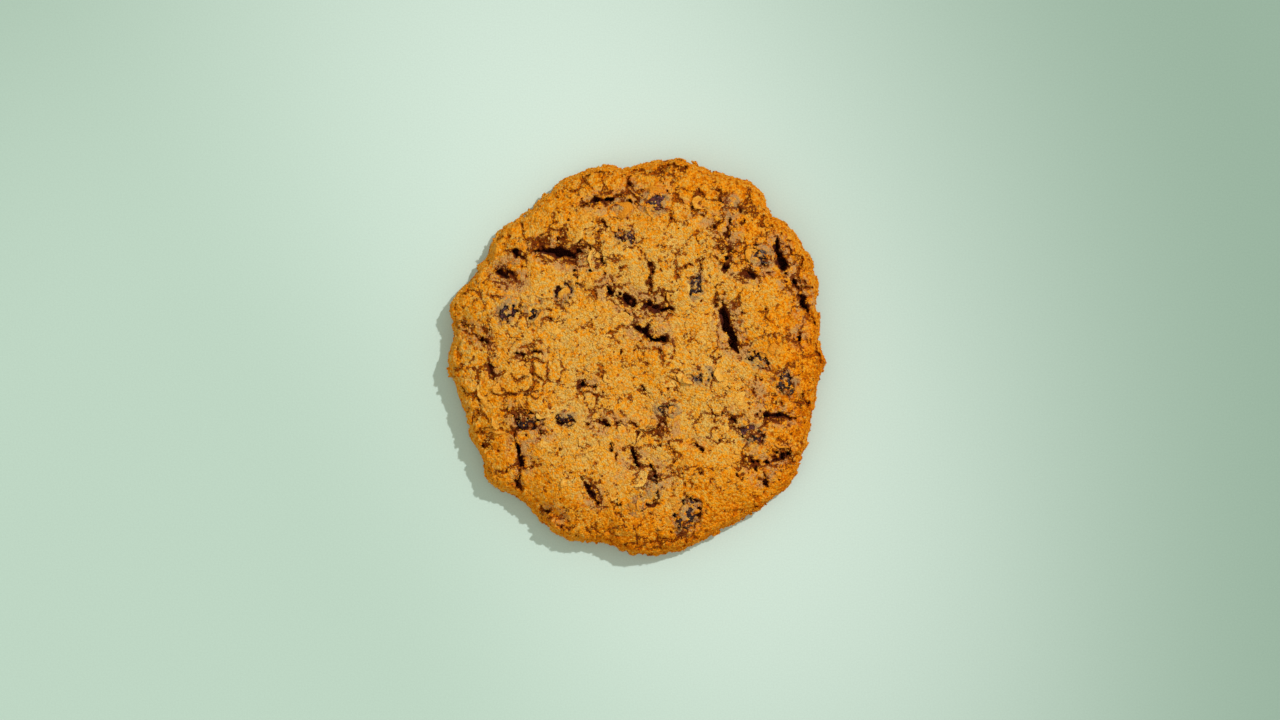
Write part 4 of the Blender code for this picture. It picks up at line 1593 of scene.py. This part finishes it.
@dataclass
class Studio:
    """A pale board, a high key light from the right, soft fill, and a camera straight above.

    The board darkens away from a bright pool and towards its lower left, as under uneven light.
    """

    view_width: float = 0.320
    view_middle: tuple[float, float] = (0.8 * MM, -0.65 * MM)
    distance: float = 1.6
    sensor: float = 36.0
    key_from: tuple[float, float, float] = (0.75, 0.65, 1.27)
    key_power: float = 1.98
    key_spread: float = math.radians(1.6)
    key_colour: Colour = (0.98, 0.985, 1.0)
    fill: float = 0.60
    fill_colour: Colour = (0.95, 1.0, 0.88)
    across_power: float = 0.22
    across_spread: float = math.radians(40)
    across_height: float = 0.9
    board: Colour = (0.768, 0.872, 0.820)
    far_board: Colour = (0.288, 0.400, 0.324)
    left_shade: Colour = (0.606, 0.680, 0.623)
    board_reach: float = 1.6
    pool_middle: tuple[float, float] = (-0.100, -0.058)
    pool_squash: float = 0.85
    pool_fade: tuple[float, float] = (0.067, 0.278)
    shade_heading: tuple[float, float] = (-0.885, -0.466)
    shade_fade: tuple[float, float] = (-0.062, 0.097)

    def build(self) -> None:
        """Makes the board, the lights and the camera."""
        self.lay_board()
        self.hang_lights()
        self.set_camera()
        bpy.context.scene.view_settings.view_transform = "Standard"

    def lay_board(self) -> None:
        """Lays the pale board under the cookie."""
        square = np.array([(-1, -1, 0), (1, -1, 0), (1, 1, 0), (-1, 1, 0)], float)
        board = mesh_object("board", square * self.board_reach, np.array([(0, 1, 2, 3)]))
        w = Wiring("pale board")
        middle, squash, heading = (*self.pool_middle, 0), (1, self.pool_squash, 0), (*self.shade_heading, 0)
        away = w.node("ShaderNodeVectorMath", {0: w.place, 1: middle}, operation="SUBTRACT")
        away = w.node("ShaderNodeVectorMath", {0: away.outputs[0], 1: squash}, operation="MULTIPLY")
        away = w.node("ShaderNodeVectorMath", {0: away.outputs[0]}, operation="LENGTH").outputs["Value"]
        left = w.node("ShaderNodeVectorMath", {0: w.place, 1: heading}, operation="DOT_PRODUCT")
        left = w.ranged(left.outputs["Value"], *self.shade_fade)
        colour = w.blend(w.ranged(away, *self.pool_fade), self.board, self.far_board)
        colour = w.blend(1.0, colour, w.blend(left, (1.0, 1.0, 1.0), self.left_shade), "MULTIPLY")
        paper = w.ranged(w.noise(0.4 * MM, 3, 1.0), 0.3, 0.7, (0.972, 1.028))
        tinted = w.node("ShaderNodeVectorMath", {0: colour, "Scale": paper}, operation="SCALE")
        colour = tinted.outputs[0]
        w.feed(w.shader.inputs["Base Color"], colour)
        w.shader.inputs["Roughness"].default_value = 0.8
        w.shader.inputs["Specular IOR Level"].default_value = 0.2
        board.data.materials.append(w.material)

    def hang_lights(self) -> None:
        """Hangs the key light and a broad weak one across from it, and sets the soft fill."""
        key = bpy.data.lights.new("key", "SUN")
        key.energy = self.key_power
        key.angle = self.key_spread
        key.color = self.key_colour
        self.aim(key, self.key_from)
        across = bpy.data.lights.new("across", "SUN")
        across.energy = self.across_power
        across.angle = self.across_spread
        self.aim(across, (-self.key_from[0], -self.key_from[1], self.across_height))
        world = bpy.data.worlds.new("soft fill")
        world.use_nodes = True
        world.node_tree.nodes["Background"].inputs["Color"].default_value = (*self.fill_colour, 1)
        world.node_tree.nodes["Background"].inputs["Strength"].default_value = self.fill
        bpy.context.scene.world = world

    def aim(self, light: bpy.types.Light, source: Sequence[float]) -> None:
        """Hangs a light so that it shines from one side onto the cookie.

        Args:
            light: the light.
            source: the direction that it comes from.
        """
        lamp = bpy.data.objects.new(light.name, light)
        lamp.rotation_euler = Vector(source).to_track_quat("Z", "Y").to_euler()
        bpy.context.scene.collection.objects.link(lamp)

    def set_camera(self) -> None:
        """Sets the camera straight above, with the cookie's +Y up."""
        lens = bpy.data.cameras.new("camera")
        lens.sensor_width = self.sensor
        lens.lens = self.sensor * self.distance / self.view_width
        lens.clip_end = 20
        camera = bpy.data.objects.new("camera", lens)
        camera.location = (*self.view_middle, self.distance)
        bpy.context.scene.collection.objects.link(camera)
        bpy.context.scene.camera = camera


def dress(piece: bpy.types.Object, slot: Slot, *nodes: str) -> None:
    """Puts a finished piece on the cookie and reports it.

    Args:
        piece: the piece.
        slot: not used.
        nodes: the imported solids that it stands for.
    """
    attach(piece, "root")
    if nodes:
        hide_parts(*nodes)
    log.info("%s: %d faces", piece.name, len(piece.data.polygons))


def main() -> None:
    """Builds the crust, the raisins, the oats, the crumbs and the studio."""
    logging.basicConfig(level=logging.INFO, format="%(relativeCreated)6d ms %(name)s: %(message)s")
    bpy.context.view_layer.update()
    solid = DoughSolid()
    log.info("read the dough and %d raisins", len(solid.raisins))
    bodies = [RaisinBody(name) for name in solid.raisins]
    crust = Crust(solid, bodies).build()
    dress(crust, Slot.DOUGH, solid.node)
    skins = {kind: RaisinFinish(kind).material() for kind in RaisinKind}
    raisins = [WrinkledRaisin(body, skins[kind_of(body.node)]).build() for body in bodies]
    for body, raisin in zip(bodies, raisins):
        dress(raisin, Slot.RAISIN, body.node)
    surface = Surface([crust])
    dress(OatFlakes(surface, solid).build(), Slot.DOUGH)
    dough = crust.data.materials[0]
    dress(Crumbs(surface, dough).build(), Slot.DOUGH)
    grains = Crumbs(
        surface, dough, name="fine_grains", count=24_000, radius=(0.13 * MM, 0.30 * MM),
        deepest=1.0, sides=8, seed=8,
    )
    dress(grains.build(), Slot.DOUGH)
    clinging = Crumbs(
        Surface(raisins), dough, name="raisin_grains", count=900, radius=(0.12 * MM, 0.36 * MM),
        deepest=1.0, sides=20, seed=9, upright=0.3,
    )
    dress(clinging.build(), Slot.DOUGH)
    Studio().build()
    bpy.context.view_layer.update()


if __name__ == "__main__":
    main()
